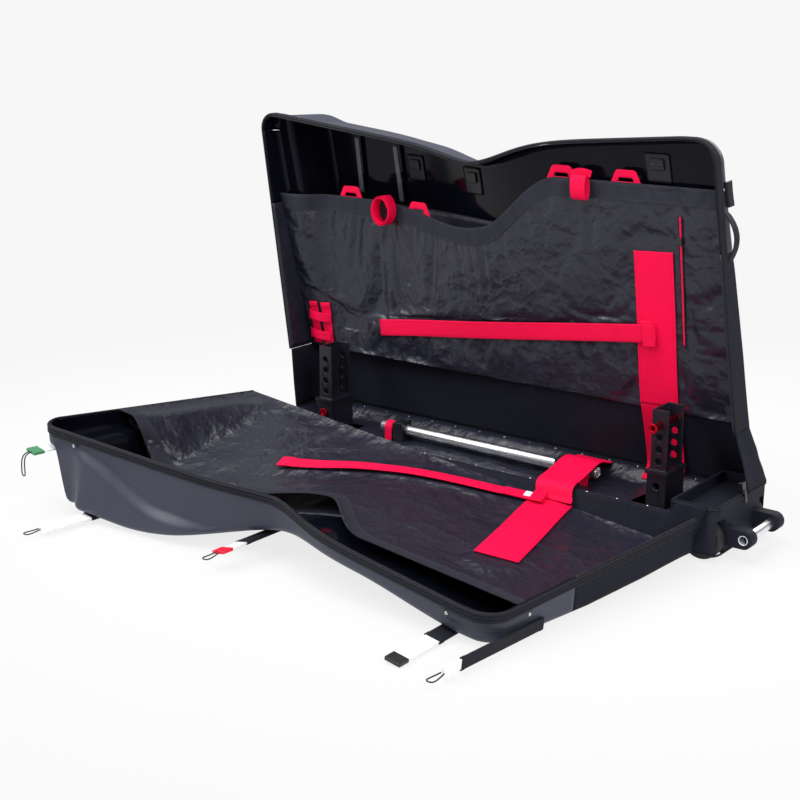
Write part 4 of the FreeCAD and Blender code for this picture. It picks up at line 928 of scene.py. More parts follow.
# cloth with spare length, let go for a few frames; each point's way is cut to cap * tanh(way / cap)
def simulated(points, held, gravity):
    rows, columns = points.shape[:2]
    piece = meshPiece("loose", points.reshape(-1, 3), gridFaces(rows, columns), [])
    group = piece.vertex_groups.new(name="held")
    group.add(np.flatnonzero(held.ravel()).tolist(), 1.0, "REPLACE")
    layer = piece.modifiers.new("cloth", "CLOTH")
    rules = layer.settings
    rules.quality = 5
    rules.mass = 0.15
    rules.tension_stiffness = rules.compression_stiffness = 15
    rules.shear_stiffness = 5
    rules.bending_stiffness = 0.05
    rules.shrink_min = -cloth["swell"]
    rules.vertex_group_mass = "held"
    rules.effector_weights.gravity = gravity
    layer.collision_settings.use_collision = False
    for step in range(1, cloth["frames"] + 1):
        bpy.context.scene.frame_set(step)
    result = piece.evaluated_get(bpy.context.evaluated_depsgraph_get()).to_mesh()
    moved = np.empty(rows * columns * 3, np.float32)
    result.vertices.foreach_get("co", moved)
    bpy.data.objects.remove(piece)
    bpy.context.scene.frame_set(1)
    way = moved.reshape(points.shape).astype(float) - points
    size = np.linalg.norm(way, axis=2, keepdims=True) + 1e-9
    return points + way * cloth["cap"] * np.tanh(size / cloth["cap"]) / size


# pocket sheet: let go as cloth, then raised over what runs behind it by ridges, height * e^-(distance / width)^4
def buildSheet(half):
    closed = sheetGrid(half)
    x, z = closed[..., 0], closed[..., 2]
    held = sewnDown(closed, half)
    points = placed(closed, half)
    lift = np.zeros(x.shape)
    for line in sleeveLines[half]:
        lift = lift + cloth["ridge"] * np.exp(-(lineDistance(x, z, line) / cloth["ridgeWidth"]) ** 4)
    points = simulated(points, held, cloth["gravity"])
    points = points + inward[half] * lift[..., None]
    piece = gridPiece(half + "Pocket", points, linerCloth, flip=half == "far")
    subdivided(piece)
    rides(piece, body[half], "liner", half + "_pocket")
    band = points[:, -cloth["hemRows"] - 1:]
    out = inward[half] * cloth["hemLift"]
    hem = gridPiece(half + "Hem", np.concatenate([band + out, (band - out)[:, ::-1]], axis=1), hemCloth,
                    flip=half == "far")
    rides(hem, body[half], "liner")


# a strip of webbing on the sheet: a rounded section carried along a line and laid on the sheet's slope, lifted
# by slow waves between its ends and nearly twice as thick where its ends are folded over
def sheetStrip(name, half, ends, width, wall, lift, material, wave=0.0, folds=(0.0, 0.0), seed=5, steps=90):
    (x1, z1), (x2, z2) = ends
    run = np.array([x2 - x1, z2 - z1])
    length = np.linalg.norm(run)
    run = run / length
    share = np.linspace(0, 1, steps)
    section = roundedProfile(width / 2, wall / 2, 28, 6.0)
    s = share * length
    thick = 1 + 0.9 * (s < folds[0]) + 0.9 * (s > length - folds[1])
    sway = width * 0.02 * noise(s * 7, 0 * s, seed + 1)
    b = section[:, 0][None, :] + sway[:, None]
    x = x1 + run[0] * s[:, None] - run[1] * b
    z = z1 + run[1] * s[:, None] + run[0] * b
    rise = lift + wave * (0.5 + 0.5 * noise(s * 11, 0 * s, seed)) * np.sin(math.pi * share) ** 0.5
    a = (section[:, 1][None, :] + wall / 2) * thick[:, None]
    y = pocketDepth(unraked(x, z), z, half) - rise[:, None] - a
    points = placed(np.stack([x, y, z], axis=-1), half)
    faces = tubeFaces(*points.shape[:2])
    uv = np.stack(np.broadcast_arrays(s[:, None], section[:, 0][None, :] + width / 2), axis=-1)
    return meshPiece(name, points.reshape(-1, 3), faces, [material], uv, merge=0.000001)


# hub patch, wheel strap and keeper, each a strip on the sheet, and a stiff tip on the near half's strap
def buildWebbing(half):
    size = strapSize
    patch = sheetStrip(half + "HubPatch", half, patches[half], size["patch"], size["patchWall"], size["gap"],
                       redBand)
    rides(patch, body[half], "red_web", half + "_hub_patch")
    strap = sheetStrip(half + "WheelStrap", half, straps[half], size["width"], size["wall"] * 0.8,
                       size["patchWall"] + 2 * size["gap"], redStrap, wave=0.0035, folds=(0.03, 0.10), seed=21)
    rides(strap, body[half], "red_web", half + "_wheel_strap")
    (x1, z1), (x2, z2) = straps[half]
    run = np.array([x2 - x1, z2 - z1]) / math.hypot(x2 - x1, z2 - z1)
    start = np.array([x2, z2]) - run * size["keeperPlace"]
    across = run[::-1] * [-size["keeperHalf"], size["keeperHalf"]]
    ends = tuple(start - across), tuple(start + across)
    keeper = sheetStrip(half + "StrapKeeper", half, ends, size["keeperWidth"], size["keeperWall"],
                        size["keeperLift"], redStrap, seed=23, steps=24)
    rides(keeper, body[half], "red_web")
    if half == "near":
        ends = tuple(start - run * size["tipStart"]), tuple(start - run * size["tipEnd"])
        tip = sheetStrip("nearStrapTip", half, ends, size["keeperWidth"], size["tipWall"], size["tipLift"],
                         battenPlastic, seed=25, steps=8)
        rides(tip, body[half], "batten")


for half in ("far", "near"):
    buildSheet(half)
    buildWebbing(half)
print("pocket sheets and webbing")


# a ribbon carried along a path in space: side is its width direction, out = along x side
def ribbon(name, path, side, width, wall, material):
    path = np.asarray(path, float)
    side = np.broadcast_to(np.asarray(side, float), path.shape)
    along = np.gradient(path, axis=0)
    along = unit(along)
    side = side - along * (side * along).sum(1)[:, None]
    side = unit(side)
    section = roundedProfile(width / 2, wall / 2, 20, 5.0)
    return sweptPiece(name, path, side, np.cross(along, side), section, material)


# evenly spaced points on a chain of straight runs with rounded turns: repeated corner averaging
def softPath(corners, count=60, rounds=3):
    path = np.asarray(corners, float)
    for _ in range(rounds):
        cut = np.stack([0.75 * path[:-1] + 0.25 * path[1:], 0.25 * path[:-1] + 0.75 * path[1:]], axis=1)
        path = np.concatenate([path[:1], cut.reshape(-1, path.shape[1]), path[-1:]])
    run = runLength(path)
    even = np.linspace(0, run[-1], count)
    return np.stack([np.interp(even, run, path[:, k]) for k in range(path.shape[1])], axis=-1)


# points in front of the far sheet: its depth at x and z, less the lift
def onSheet(x, z, lift):
    x, z = np.asarray(x, float), np.asarray(z, float)
    return np.stack([x, pocketDepth(unraked(x, z), z, "far") - lift, z], axis=-1)


loops = {"places": (-0.460, -0.235, 0.196, 0.360), "rise": 0.027, "height": 0.042, "foot": 0.0430,
         "head": 0.0235, "slotFoot": 0.0205, "slotHead": 0.0165, "slotLow": 0.001, "slotHigh": 0.010,
         "wall": 0.0030, "behind": 0.0042, "ease": 0.8}


# height of the hem over a place x
def hemAt(x):
    return float(hemHeight(np.array(unraked(x, pocket["hemRear"]))))


# points along the four sides of a trapezoid: each side by equal shares between its corners, corners eased
def trapezoid(foot, head, low, high, ease, steps=10):
    corners = np.array([(-foot, low), (foot, low), (head, high), (-head, high)])
    share = np.linspace(0, 1, steps, endpoint=False)[None, :, None]
    line = (corners[:, None] * (1 - share) + np.roll(corners, -1, 0)[:, None] * share).reshape(-1, 2)
    return line * (1 - ease) + (np.roll(line, 1, 0) + np.roll(line, -1, 0)) / 2 * ease


# loops: flat trapezoid tabs that stand on the hem, a slot in each, rows running from the slot to the edge
def buildLoops():
    parts = []
    for x in loops["places"]:
        hem = hemAt(x)
        top = hem + loops["rise"]
        edge = trapezoid(loops["foot"], loops["head"], top - loops["height"], top, loops["ease"])
        slot = trapezoid(loops["slotFoot"], loops["slotHead"], hem + loops["slotLow"], hem + loops["slotHigh"],
                         loops["ease"])
        share = np.linspace(0, 1, 5)[:, None, None]
        face = slot * (1 - share) + edge * share
        points = onSheet(x + face[..., 0], face[..., 1], -loops["behind"])
        tab = gridPiece("loop", points, redWeb, closeColumns=True)
        solidify(tab, loops["wall"], 0.0)
        parts.append(tab)
    rides(joined("farLoops", parts), "far_panel", "red_web", "far_loops")


rolls = {"ring": -0.340, "block": 0.251, "rise": 0.014, "height": 0.062, "lean": 0.003, "turns": 2.2,
         "startTurn": 0.3, "shrink": 0.11, "ringWide": 0.031, "ringHigh": 0.039, "ringLift": 0.0165,
         "ringWidth": 0.030, "ringWall": 0.0020, "blockDeep": 0.0115, "blockHigh": 0.029, "blockLift": 0.0135,
         "blockWidth": 0.038, "blockWall": 0.0017, "tailLift": 0.0020, "tailWidth": 0.016, "tailWall": 0.0020}


# rolled straps: a ribbon wound on an oval that shrinks by a share of its size with each turn inwards
def buildRolls():
    turn = np.linspace(rolls["startTurn"], 2 * math.pi * rolls["turns"], 130)
    grow = 1 - rolls["shrink"] * (turn[-1] - turn) / (2 * math.pi)
    x, top = rolls["ring"], hemAt(rolls["ring"]) + rolls["rise"]
    ring = onSheet(x + rolls["lean"] + rolls["ringWide"] * grow * np.cos(turn),
                   top - rolls["height"] / 2 + rolls["ringHigh"] * grow * np.sin(turn), rolls["ringLift"])
    first = ribbon("ring", ring, (0, 1, 0), rolls["ringWidth"], rolls["ringWall"], redWeb)
    x, top = rolls["block"], hemAt(rolls["block"]) + rolls["rise"]
    high = top - rolls["height"] / 2 + rolls["blockHigh"] * grow * np.sin(turn)
    lift = rolls["blockLift"] + rolls["blockDeep"] * grow * np.cos(turn)
    block = onSheet(np.full_like(turn, x + rolls["lean"]), high, lift)
    second = ribbon("block", block, (1, 0, 0), rolls["blockWidth"], rolls["blockWall"], redWeb)
    tail = softPath([(x - 0.028, top - 0.004), (x, top + 0.004), (x + 0.026, top - 0.002)], 24, 2)
    tail = onSheet(tail[:, 0], tail[:, 1], rolls["tailLift"])
    third = ribbon("tail", tail, (0, 0, 1), rolls["tailWidth"], rolls["tailWall"], redWeb)
    rides(joined("farRolledStraps", [first, second, third]), "far_panel", "red_web", "far_rolled_straps")


sideStraps = {"places": (-0.575, -0.538), "top": 0.372, "height": 0.112, "lean": 0.008, "width": 0.026,
              "wall": 0.0030, "lift": 0.0009, "fold": 0.012, "loops": (0.338, 0.288), "loopStart": -0.590,
              "loopSpan": 0.070, "loopFall": 0.006, "loopLift": 0.0055, "loopRise": 0.011, "loopWidth": 0.024,
              "loopWall": 0.0022}


# side straps: two upright strips, and two loops across them that stand off on an arch, rise * sin^0.7
def buildSideStraps():
    parts, size = [], sideStraps
    for at, x in enumerate(size["places"]):
        ends = ((x, size["top"]), (x + size["lean"], size["top"] - size["height"]))
        parts.append(sheetStrip("sideStrap", "far", ends, size["width"], size["wall"], size["lift"], redWeb,
                                wave=0.001, folds=(size["fold"], size["fold"]), seed=31 + at, steps=40))
    across = np.linspace(0, 1, 36)
    x = size["loopStart"] + size["loopSpan"] * across
    arch = size["loopLift"] + size["loopRise"] * np.sin(math.pi * across) ** 0.7
    for z in size["loops"]:
        path = onSheet(x, z - size["loopFall"] * across, arch)
        parts.append(ribbon("sideLoop", path, (0, 0, 1), size["loopWidth"], size["loopWall"], redWeb))
    rides(joined("farSideStraps", parts), "far_panel", "red_web", "far_side_straps")


# pocket zip: a strip of tape and a narrower one of teeth on it
def buildPocketZip():
    size, ends = pocketZip, pocketZip["ends"]
    tape = sheetStrip("pocketZip", "far", ends, size["tape"], size["tapeWall"], size["tapeLift"], rimTape)
    teeth = sheetStrip("pocketZipTeeth", "far", ends, size["teeth"], size["teethWall"], size["teethLift"],
                       redWeb)
    rides(tape, "far_panel", "rim_tape", "pocket_zip")
    rides(teeth, "far_panel", "zip_metal")


handle = {"low": 0.612, "high": 0.712, "rise": 0.022, "wall": 0.0035, "width": 0.024, "y": 0.033, "gap": 0.0003}


# handle: webbing that stands off the rear end between its feet on an arch, rise * sin^0.8
def buildHandle():
    share = np.linspace(0, 1, 50)
    z = handle["low"] + (handle["high"] - handle["low"]) * share
    rise = (handle["rise"] - handle["wall"] / 2) * np.sin(math.pi * share) ** 0.8 + handle["wall"] / 2
    foot = closedPoints(case["rear"], z, handle["y"])
    out = np.array([1.0, 0.0, case["rake"]]) / math.hypot(1, case["rake"])
    path = foot + out * (rise + handle["gap"])[:, None]
    strip = ribbon("farHandle", path, (0, 1, 0), handle["width"], handle["wall"] * 0.8, blackWeb)
    rides(strip, "far_panel", "web_band", "far_handle")


rods = {"lines": [((-0.495, 0.655), (-0.505, 0.800)), ((-0.362, 0.640), (-0.378, 0.785))], "width": 0.014,
        "wall": 0.005, "sockets": ((-0.330, 0.740), (-0.110, 0.730), (0.420, 0.800)), "plateHalf": 0.029,
        "plateHeight": 0.064, "plateDrop": 0.008, "plateWall": 0.004, "plateGap": 0.0006, "stand": 0.012,
        "screwSide": 0.009, "screwStand": 0.0100, "screw": 0.0032}


# stays of the upright half seen inside its shell: flat bars just in front of the inner face, and the
# sockets' back plates, which follow the shell
def buildRods():
    parts = []
    for (x1, z1), (x2, z2) in rods["lines"]:
        share = np.linspace(0, 1, 20)
        x, z = x1 + (x2 - x1) * share, z1 + (z2 - z1) * share
        y = depth(unraked(x, z), z, "far") - case["wall"] - rods["stand"]
        path = np.stack([x, y, z], axis=-1)
        # bars in mid grey: painted highlight for the shine on their black edges
        parts.append(ribbon("rod", path, (1, 0, 0), rods["width"], rods["wall"], rodPaintedHighlight))
    rides(joined("farInnerRods", parts), "far_panel", "black_plastic")
    heads, plates = [], []
    for u, z in rods["sockets"]:
        across, up = np.meshgrid(np.linspace(-1, 1, 13), np.linspace(-1, 1, 13), indexing="ij")
        across, up = across * np.sqrt(1 - 0.04 * up ** 8), up * np.sqrt(1 - 0.04 * across ** 8)
        plateU, plateZ = u + across * rods["plateHalf"], z - rods["plateDrop"] + up * rods["plateHeight"] / 2
        y = depth(plateU, plateZ, "far") - case["wall"] - rods["plateGap"]
        plate = gridPiece("plate", closedPoints(plateU, plateZ, y), blackPlastic, flip=True)
        plates.append(solidify(plate, rods["plateWall"], 1.0))
        for across in (-rods["screwSide"], rods["screwSide"]):
            y = depth(np.array(u + across), np.array(z), "far") - case["wall"] - rods["screwStand"]
            heads.append((closedPoints(u + across, z, y), (0, -1, 0)))
    rides(rivetHeads("socketScrews", heads, rods["screw"], darkMetal), "far_panel", "steel")
    rides(joined("socketPlates", plates), "far_panel", "black_plastic")


buildRods()
buildLoops()
buildRolls()
buildSideStraps()
buildPocketZip()
buildHandle()
print("rods, loops, rolls, side straps, zip and handle")

# Stays and sleeves. A CAD box's own axes come from the spread of its corners.


# corner points of a CAD node
def nodeVerts(name):
    mesh = nodes[name].data
    points = np.empty(len(mesh.vertices) * 3, np.float32)
    mesh.vertices.foreach_get("co", points)
    return points.reshape(-1, 3).astype(float)


# middle, axes (long, wide, thick) and sizes of a box's corners
def boxFrame(points):
    points = np.unique(np.round(points, 6), axis=0)
    axes = np.linalg.svd(points - points.mean(0), full_matrices=False)[2]
    spans = points @ axes.T
    middle = (spans.max(0) + spans.min(0)) / 2 @ axes
    return middle, axes, spans.max(0) - spans.min(0)


# groups of points split wherever their x leaves a gap
def groupsAlongX(points, gap=0.03):
    points = points[np.argsort(points[:, 0])]
    cuts = np.flatnonzero(np.diff(points[:, 0]) > gap) + 1
    return np.split(points, cuts)


sleeve = {"wall": 0.0014, "hem": 0.012, "flare": 0.05, "reach": 0.032}


# sleeve: a flattened tube, fuller at its stitched mouths: scale 1 there and 1 - flare between
def buildSleeve(name, points):
    middle, axes, spans = boxFrame(points)
    share = np.linspace(-0.5, 0.5, 60)
    centre = middle + axes[0] * (share * spans[0])[:, None]
    toEnd = (0.5 - np.abs(share)) * spans[0]
    scale = 1 - sleeve["flare"] + sleeve["flare"] * (toEnd < sleeve["hem"])
    section = roundedProfile(spans[1] / 2, spans[2] / 2, 36, 5.0)
    wide = np.broadcast_to(axes[1], centre.shape)
    thick = np.broadcast_to(axes[2], centre.shape)
    return sweptPiece(name, centre, wide, thick, section, sleeveCloth, caps=False, scale=scale)


# the sleeves of a half as one piece, with a wall
def finishSleeves(name, parts, half):
    piece = joined(name, parts)
    solidify(piece, sleeve["wall"], -1.0)
    rides(piece, body[half], "sleeve_cloth", half + "_sleeves")


stayNames = ("front_end", "front", "middle", "rear", "rear_end")
nearSleeveVerts = nodeVerts("near_sleeves")
nearParts = []
for stay in stayNames:
    middle, axes, spans = boxFrame(nodeVerts("stay_" + stay))
    toLine = nearSleeveVerts - middle
    away = np.linalg.norm(toLine - (toLine @ axes[0])[:, None] * axes[0], axis=1)
    nearParts.append(buildSleeve("sleeve", nearSleeveVerts[away < sleeve["reach"]]))
finishSleeves("nearSleeves", nearParts, "near")
farParts = [buildSleeve("sleeve", points) for points in groupsAlongX(nodeVerts("far_sleeves"))]
finishSleeves("farSleeves", farParts, "far")

# steps of a cord in millimetres: along the stay, across it and down
lyingLoop = [(0, -4, 0), (9, -5, 1), (18, -7, 2), (27, -8, 2.4), (35, -7.5, 2.4), (38.5, 0, 2.4),
             (35, 7.5, 2.4), (27, 8, 2.4), (18, 7, 2), (9, 5, 1), (0, 4, 0)]
hangingLoop = [(0, -4, 0), (9, -4, 1.5), (16, -5, 8), (19, -6, 18), (20, -6.7, 30), (20, -7, 42),
               (20, -7, 50), (20, 0, 54), (20, 7, 50), (20, 7, 42), (20, 6.7, 30), (19, 6, 18),
               (16, 5, 8), (9, 4, 1.5), (0, 4, 0)]
cordLoops = {"front_end": hangingLoop, "front": lyingLoop, "middle": lyingLoop, "rear_end": lyingLoop}
cordSize = {"diameter": 0.0028, "gap": 0.0003}


# pull cord: the CAD route's steps from the cap's end, its bends a little wider, as one smooth spline
def buildCord(stay, steps):
    cap = nodeVerts("stay_%s_cap" % stay)
    along = np.array(joints["stay_%s_slide" % stay]["axis"], float)
    along = along / np.linalg.norm(along)
    reach = cap @ along
    middle = (cap.max(0) + cap.min(0)) / 2
    start = middle + along * (reach.max() + cordSize["gap"] - middle @ along)
    level = along * np.array([1.0, 1.0, 0.0])
    level = level / np.linalg.norm(level)
    across = np.array([-level[1], level[0], 0.0])
    steps = np.array(steps, float) / 1000
    route = start + along * steps[:, :1] + across * steps[:, 1:2] - np.array([0, 0, 1.0]) * steps[:, 2:]
    curve = bpy.data.curves.new(stay + "Cord", "CURVE")
    curve.dimensions = "3D"
    line = curve.splines.new("NURBS")
    line.points.add(len(route) - 1)
    line.points.foreach_set("co", np.concatenate([route, np.ones((len(route), 1))], axis=1).ravel())
    line.order_u = 3
    line.use_endpoint_u = True
    line.resolution_u = 8
    bare = bpy.data.objects.new("bare", curve)
    bpy.context.scene.collection.objects.link(bare)
    shape = bpy.data.meshes.new_from_object(bare)
    bpy.data.objects.remove(bare)
    bpy.data.meshes.remove(shape)
    curve.bevel_depth = cordSize["diameter"] / 2
    curve.bevel_resolution = 4
    curve.use_fill_caps = True
    curve.materials.append(cordThread)
    cord = bpy.data.objects.new(stay + "Cord", curve)
    bpy.context.scene.collection.objects.link(cord)
    rides(cord, "stay_" + stay, "cord", "stay_%s_cord" % stay)


for stay, steps in cordLoops.items():
    buildCord(stay, steps)
print("sleeves and cords")

# Base: skirts, liner, rivets, piping and ties

base = {"front": -0.588, "rear": 0.697, "half": 0.125, "trayTop": 0.095, "housingTop": 0.125,
        "housingFront": 0.590, "housingStep": 0.012, "trayRadius": 0.040, "housingRadius": 0.022}
skirt = {"gap": 0.0009, "stand": 0.0022, "wall": 0.0018, "gather": 0.0022, "pucker": 0.0012, "nearGather": 0.3,
         "rearEnd": 0.12, "frontEnd": 0.02, "bendGap": 0.0004}


# matching points on the base's outline and on a half's foot, from the rear end round to the front
def skirtEdges():
    rear, front, half = base["rear"], base["front"], base["half"]
    quarter = np.radians(np.linspace(0, 90, 9))
    rearLow, frontLow = case["rearLow"], case["frontLow"]
    topRear, topFront = raked(case["rear"], case["foot"]), raked(case["front"], case["foot"])

    def side(x):
        u = unraked(x, base["trayTop"])
        return np.stack([raked(u, case["foot"]), rearLow + (frontLow - rearLow) * bulge(u)], -1)

    share = np.linspace(skirt["rearEnd"], 1 - base["housingRadius"] / half, 8)
    low = [np.stack([np.full(8, rear), share * half], -1)]
    high = [np.stack([np.full(8, topRear), share * rearLow], -1)]
    r = base["housingRadius"]
    low.append(np.stack([rear - r + r * np.cos(quarter), half - r + r * np.sin(quarter)], -1)[1:])
    a, b = high[-1][-1], side(np.array(rear - r))
    high.append(np.stack([a[0] + (b[0] - a[0]) * (1 - np.cos(quarter)),
                          a[1] + (b[1] - a[1]) * np.sin(quarter)], -1)[1:])
    x = np.linspace(rear - r, front + base["trayRadius"], 90)[1:]
    low.append(np.stack([x, np.full_like(x, half)], -1))
    high.append(side(x))
    r = base["trayRadius"]
    low.append(np.stack([front + r - r * np.sin(quarter), half - r + r * np.cos(quarter)], -1)[1:])
    share = np.linspace(1 - r / half, skirt["frontEnd"], 10)
    a, b = side(np.array(front + r)), np.array([topFront, share[0] * frontLow])
    high.append(np.stack([a[0] + (b[0] - a[0]) * np.sin(quarter),
                          a[1] + (b[1] - a[1]) * (1 - np.cos(quarter))], -1)[1:])
    low.append(np.stack([np.full(9, front), share[1:] * half], -1))
    high.append(np.stack([np.full(9, topFront), share[1:] * frontLow], -1))
    low, high = np.concatenate(low), np.concatenate(high)
    step = smooth((low[:, 0] - base["housingFront"]) / base["housingStep"])
    level = base["trayTop"] + (base["housingTop"] - base["trayTop"]) * step
    low = np.concatenate([low, level[:, None] - skirt["gap"]], axis=1)
    return low, np.concatenate([high, np.full((len(high), 1), case["foot"] - skirt["gap"])], axis=1)


# skirt: straight from the base to the half's foot, with gathers that die out at both edges
def buildSkirt(half):
    low, high = skirtEdges()
    sign = 1.0 if half == "far" else -1.0
    if half == "near":
        beside = low[:, 1] > base["half"] - 1e-6
        low, high = low[beside], high[beside]
    along = np.gradient(low[:, :2], axis=0)
    along = unit(along)
    out = np.stack([-along[:, 1], along[:, 0], 0 * along[:, 0]], axis=-1)
    out = out * np.where((out[:, :2] * (low[:, :2] - [0.05, 0.0])).sum(1) < 0, -1, 1)[:, None]
    foot = (low + out * skirt["stand"]) * [1, sign, 1]
    head = placed(high - out * skirt["stand"], half)
    share = np.linspace(0, 1, 16)
    points = foot[:, None] + (head - foot)[:, None] * share[None, :, None]
    run = runLength(low)
    gather = skirt["gather"] * noise(run * 34, 0 * run, 41)[:, None]
    gather = gather + skirt["pucker"] * noise(run[:, None] * 20, share[None, :] * 5, 42)
    gather = gather * (1.0 if half == "far" else skirt["nearGather"])
    points = points + (out * [1, sign, 1])[:, None] * (gather * np.sin(math.pi * share) ** 0.7)[..., None]
    piece = gridPiece(half + "Skirt", points, wallCloth)
    mend(piece.data)
    solidify(piece, skirt["wall"], 0.0)
    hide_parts(half + "_skirt")
    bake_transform(piece)


liner = {"z": 0.064, "edge": 0.0935, "half": 0.1195, "front": -0.580, "rear": 0.586,
         "sideTurn": 0.068, "sideRun": 0.046, "endTurn": 0.050, "endRun": 0.045, "waves": 0.0035,
         "creases": 0.003, "corner": 0.036, "cornerSide": 0.085, "cornerRadius": 0.034,
         "slots": [(-0.450, 0.0, 0.060, 0.047), (0.510, 0.0, 0.060, 0.047), (-0.240, 0.015, 0.018, 0.022),
                   (0.240, 0.015, 0.018, 0.022), (-0.273, -0.001, 0.013, 0.006), (0.303, -0.001, 0.013, 0.006)],
         "rivets": (-0.52, 0.57, 0.075), "rivetSide": 0.114, "rivetSink": 0.0004, "rivet": 0.0035}


# liner: loose cloth in the tray, eased up at its edges, with slots where the towers and clips stand. Each slot
# is its middle and half its size, and the front corners are cut round.
def buildLiner():
    x = np.linspace(liner["front"], liner["rear"], 240)
    y = np.linspace(-liner["half"], liner["half"], 70)
    x, y = np.meshgrid(x, y, indexing="ij")
    toEnd = np.minimum(x - liner["front"], liner["rear"] - x)
    side = smooth((np.abs(y) - liner["sideTurn"]) / liner["sideRun"])
    end = smooth((liner["endTurn"] - toEnd) / liner["endRun"])
    rise = np.maximum(side, end)
    z = liner["z"] + (liner["edge"] - liner["z"]) * rise
    loose = liner["waves"] * noise(x * 12, y * 16, 51) + liner["creases"] * ridges(x * 8 + y * 9, y * 12, 52)
    z = z + (1 - rise) * loose
    overEnd, overSide = liner["corner"] - toEnd, np.abs(y) - liner["cornerSide"]
    corner = (overEnd > 0) & (overSide > 0) & (x < 0) & (np.hypot(overEnd, overSide) > liner["cornerRadius"])
    points = np.stack([x, y, z], axis=-1)
    faces = gridFaces(*x.shape)
    middles = points.reshape(-1, 3)[faces].mean(1)
    keep = ~corner.ravel()[faces].any(1)
    for cx, cy, sx, sy in liner["slots"]:
        keep &= ~((np.abs(middles[:, 0] - cx) < sx) & (np.abs(middles[:, 1] - cy) < sy))
    piece = meshPiece("baseLiner", points.reshape(-1, 3), faces[keep], [linerCloth], gridUv(points))
    work = bmesh.new()
    work.from_mesh(piece.data)
    bmesh.ops.delete(work, geom=[v for v in work.verts if not v.link_faces], context="VERTS")
    work.to_mesh(piece.data)
    work.free()
    rides(piece, "base", "liner")
    level = liner["edge"] - liner["rivetSink"]
    heads = [((float(x), sign * liner["rivetSide"], level), (0, 0, 1))
             for x in np.arange(*liner["rivets"]) for sign in (-1, 1)]
    rides(rivetHeads("linerRivets", heads, liner["rivet"], steel), "base", "steel")


# outline of the base at one height, as a closed line with round corners: centre + (radius + grow) * direction
def baseOutline(grow, front, radiusFront):
    rear, half, radiusRear = base["rear"], base["half"], base["housingRadius"]
    quarter = np.radians(np.linspace(0, 90, 9))
    c, s = np.cos(quarter), np.sin(quarter)
    parts = []
    for cx, cy, r, dx, dy in ((rear - radiusRear, half - radiusRear, radiusRear, c, s),
                              (front + radiusFront, half - radiusFront, radiusFront, -s, c),
                              (front + radiusFront, radiusFront - half, radiusFront, -c, -s),
                              (rear - radiusRear, radiusRear - half, radiusRear, s, -c)):
        parts.append(np.stack([cx + (r + grow) * dx, cy + (r + grow) * dy], -1))
    return np.concatenate(parts)


piping = {"radius": 0.0024, "stand": 0.0006, "low": 0.0175, "high": 0.1195, "frontGap": 0.004,
          "frontRadius": 0.006}


# piping: a round section carried round the base's outline at the runner and round the housing's top
def buildPiping():
    parts = []
    housing = base["housingFront"] + piping["frontGap"]
    lines = [(baseOutline(piping["stand"], base["front"], base["trayRadius"]), piping["low"]),
             (baseOutline(piping["stand"], housing, piping["frontRadius"]), piping["high"])]
    for line, z in lines:
        path = np.concatenate([line, np.full((len(line), 1), z)], axis=1)
        path = np.concatenate([path, path[:1]])
        run = runLength(path)
        even = np.linspace(0, run[-1], 500)[:-1]
        path = np.stack([np.interp(even, run, path[:, k]) for k in range(3)], -1)
        along = np.roll(path, -1, 0) - np.roll(path, 1, 0)
        along = unit(along)
        up = np.broadcast_to(np.array([0.0, 0.0, 1.0]), path.shape)
        out = np.cross(along, up)
        ring = roundedProfile(piping["radius"], piping["radius"], 10, 2.0)
        points = path[:, None] + out[:, None] * ring[None, :, :1] + up[:, None] * ring[None, :, 1:]
        parts.append(gridPiece("piping", points, rimTape, closeRows=True, closeColumns=True))
    rides(joined("basePiping", parts), "base", "rim_tape")


ties = {"y": 0.015, "z": 0.092, "radius": 0.0156, "width": 0.022, "wall": 0.0022, "floor": 0.0195,
        "places": (-0.273, 0.303)}


# ties: webbing once round the rail and down to the tray, along a tangent of the ring
def buildTies():
    parts = []
    for x in ties["places"]:
        turn = np.linspace(math.pi, -math.pi * 1.05, 70)
        y = ties["y"] + ties["radius"] * np.cos(turn)
        z = ties["z"] + ties["radius"] * np.sin(turn)
        tailZ = np.linspace(ties["floor"], ties["z"], 30)[:-1]
        tail = np.stack([np.full_like(tailZ, ties["y"] - ties["radius"]), tailZ], -1)
        line = np.concatenate([tail, np.stack([y, z], -1)])
        path = np.stack([np.full(len(line), x), line[:, 0], line[:, 1]], -1)
        parts.append(ribbon("tie", path, (1, 0, 0), ties["width"], ties["wall"], redWeb))
    rides(joined("railTies", parts), "base", "red_web", "rail_ties")


bandFeet = {"far": [(0.448, 0.0765, 0.262), (0.449, 0.0775, 0.250), (0.450, 0.096, 0.190),
                    (0.451, 0.1150, 0.120), (0.452, 0.1130, 0.0975), (0.453, 0.098, 0.0875),
                    (0.453, 0.085, 0.0760)],
            "near": [(0.324, 0.0765, 0.262), (0.3208, 0.0768, 0.250)],
            "overBase": [(0.308, -0.1395, 0.0930), (0.306, -0.126, 0.1045), (0.300, -0.090, 0.1040),
                         (0.293, -0.040, 0.1090), (0.288, 0.000, 0.1150), (0.284, 0.030, 0.1150),
                         (0.278, 0.066, 0.1020), (0.273, 0.094, 0.0930), (0.271, 0.104, 0.0930)],
            "lift": 0.005, "wall": 0.0024, "steps": {"far": 50, "near": 220},
            "farBend": ((0.45, 0.118, 0.110), (0.45, 0.0785, 0.250)),
            "nearBend": ((0.306, -0.1276, 0.097), (0.306, -0.1368, 0.097))}
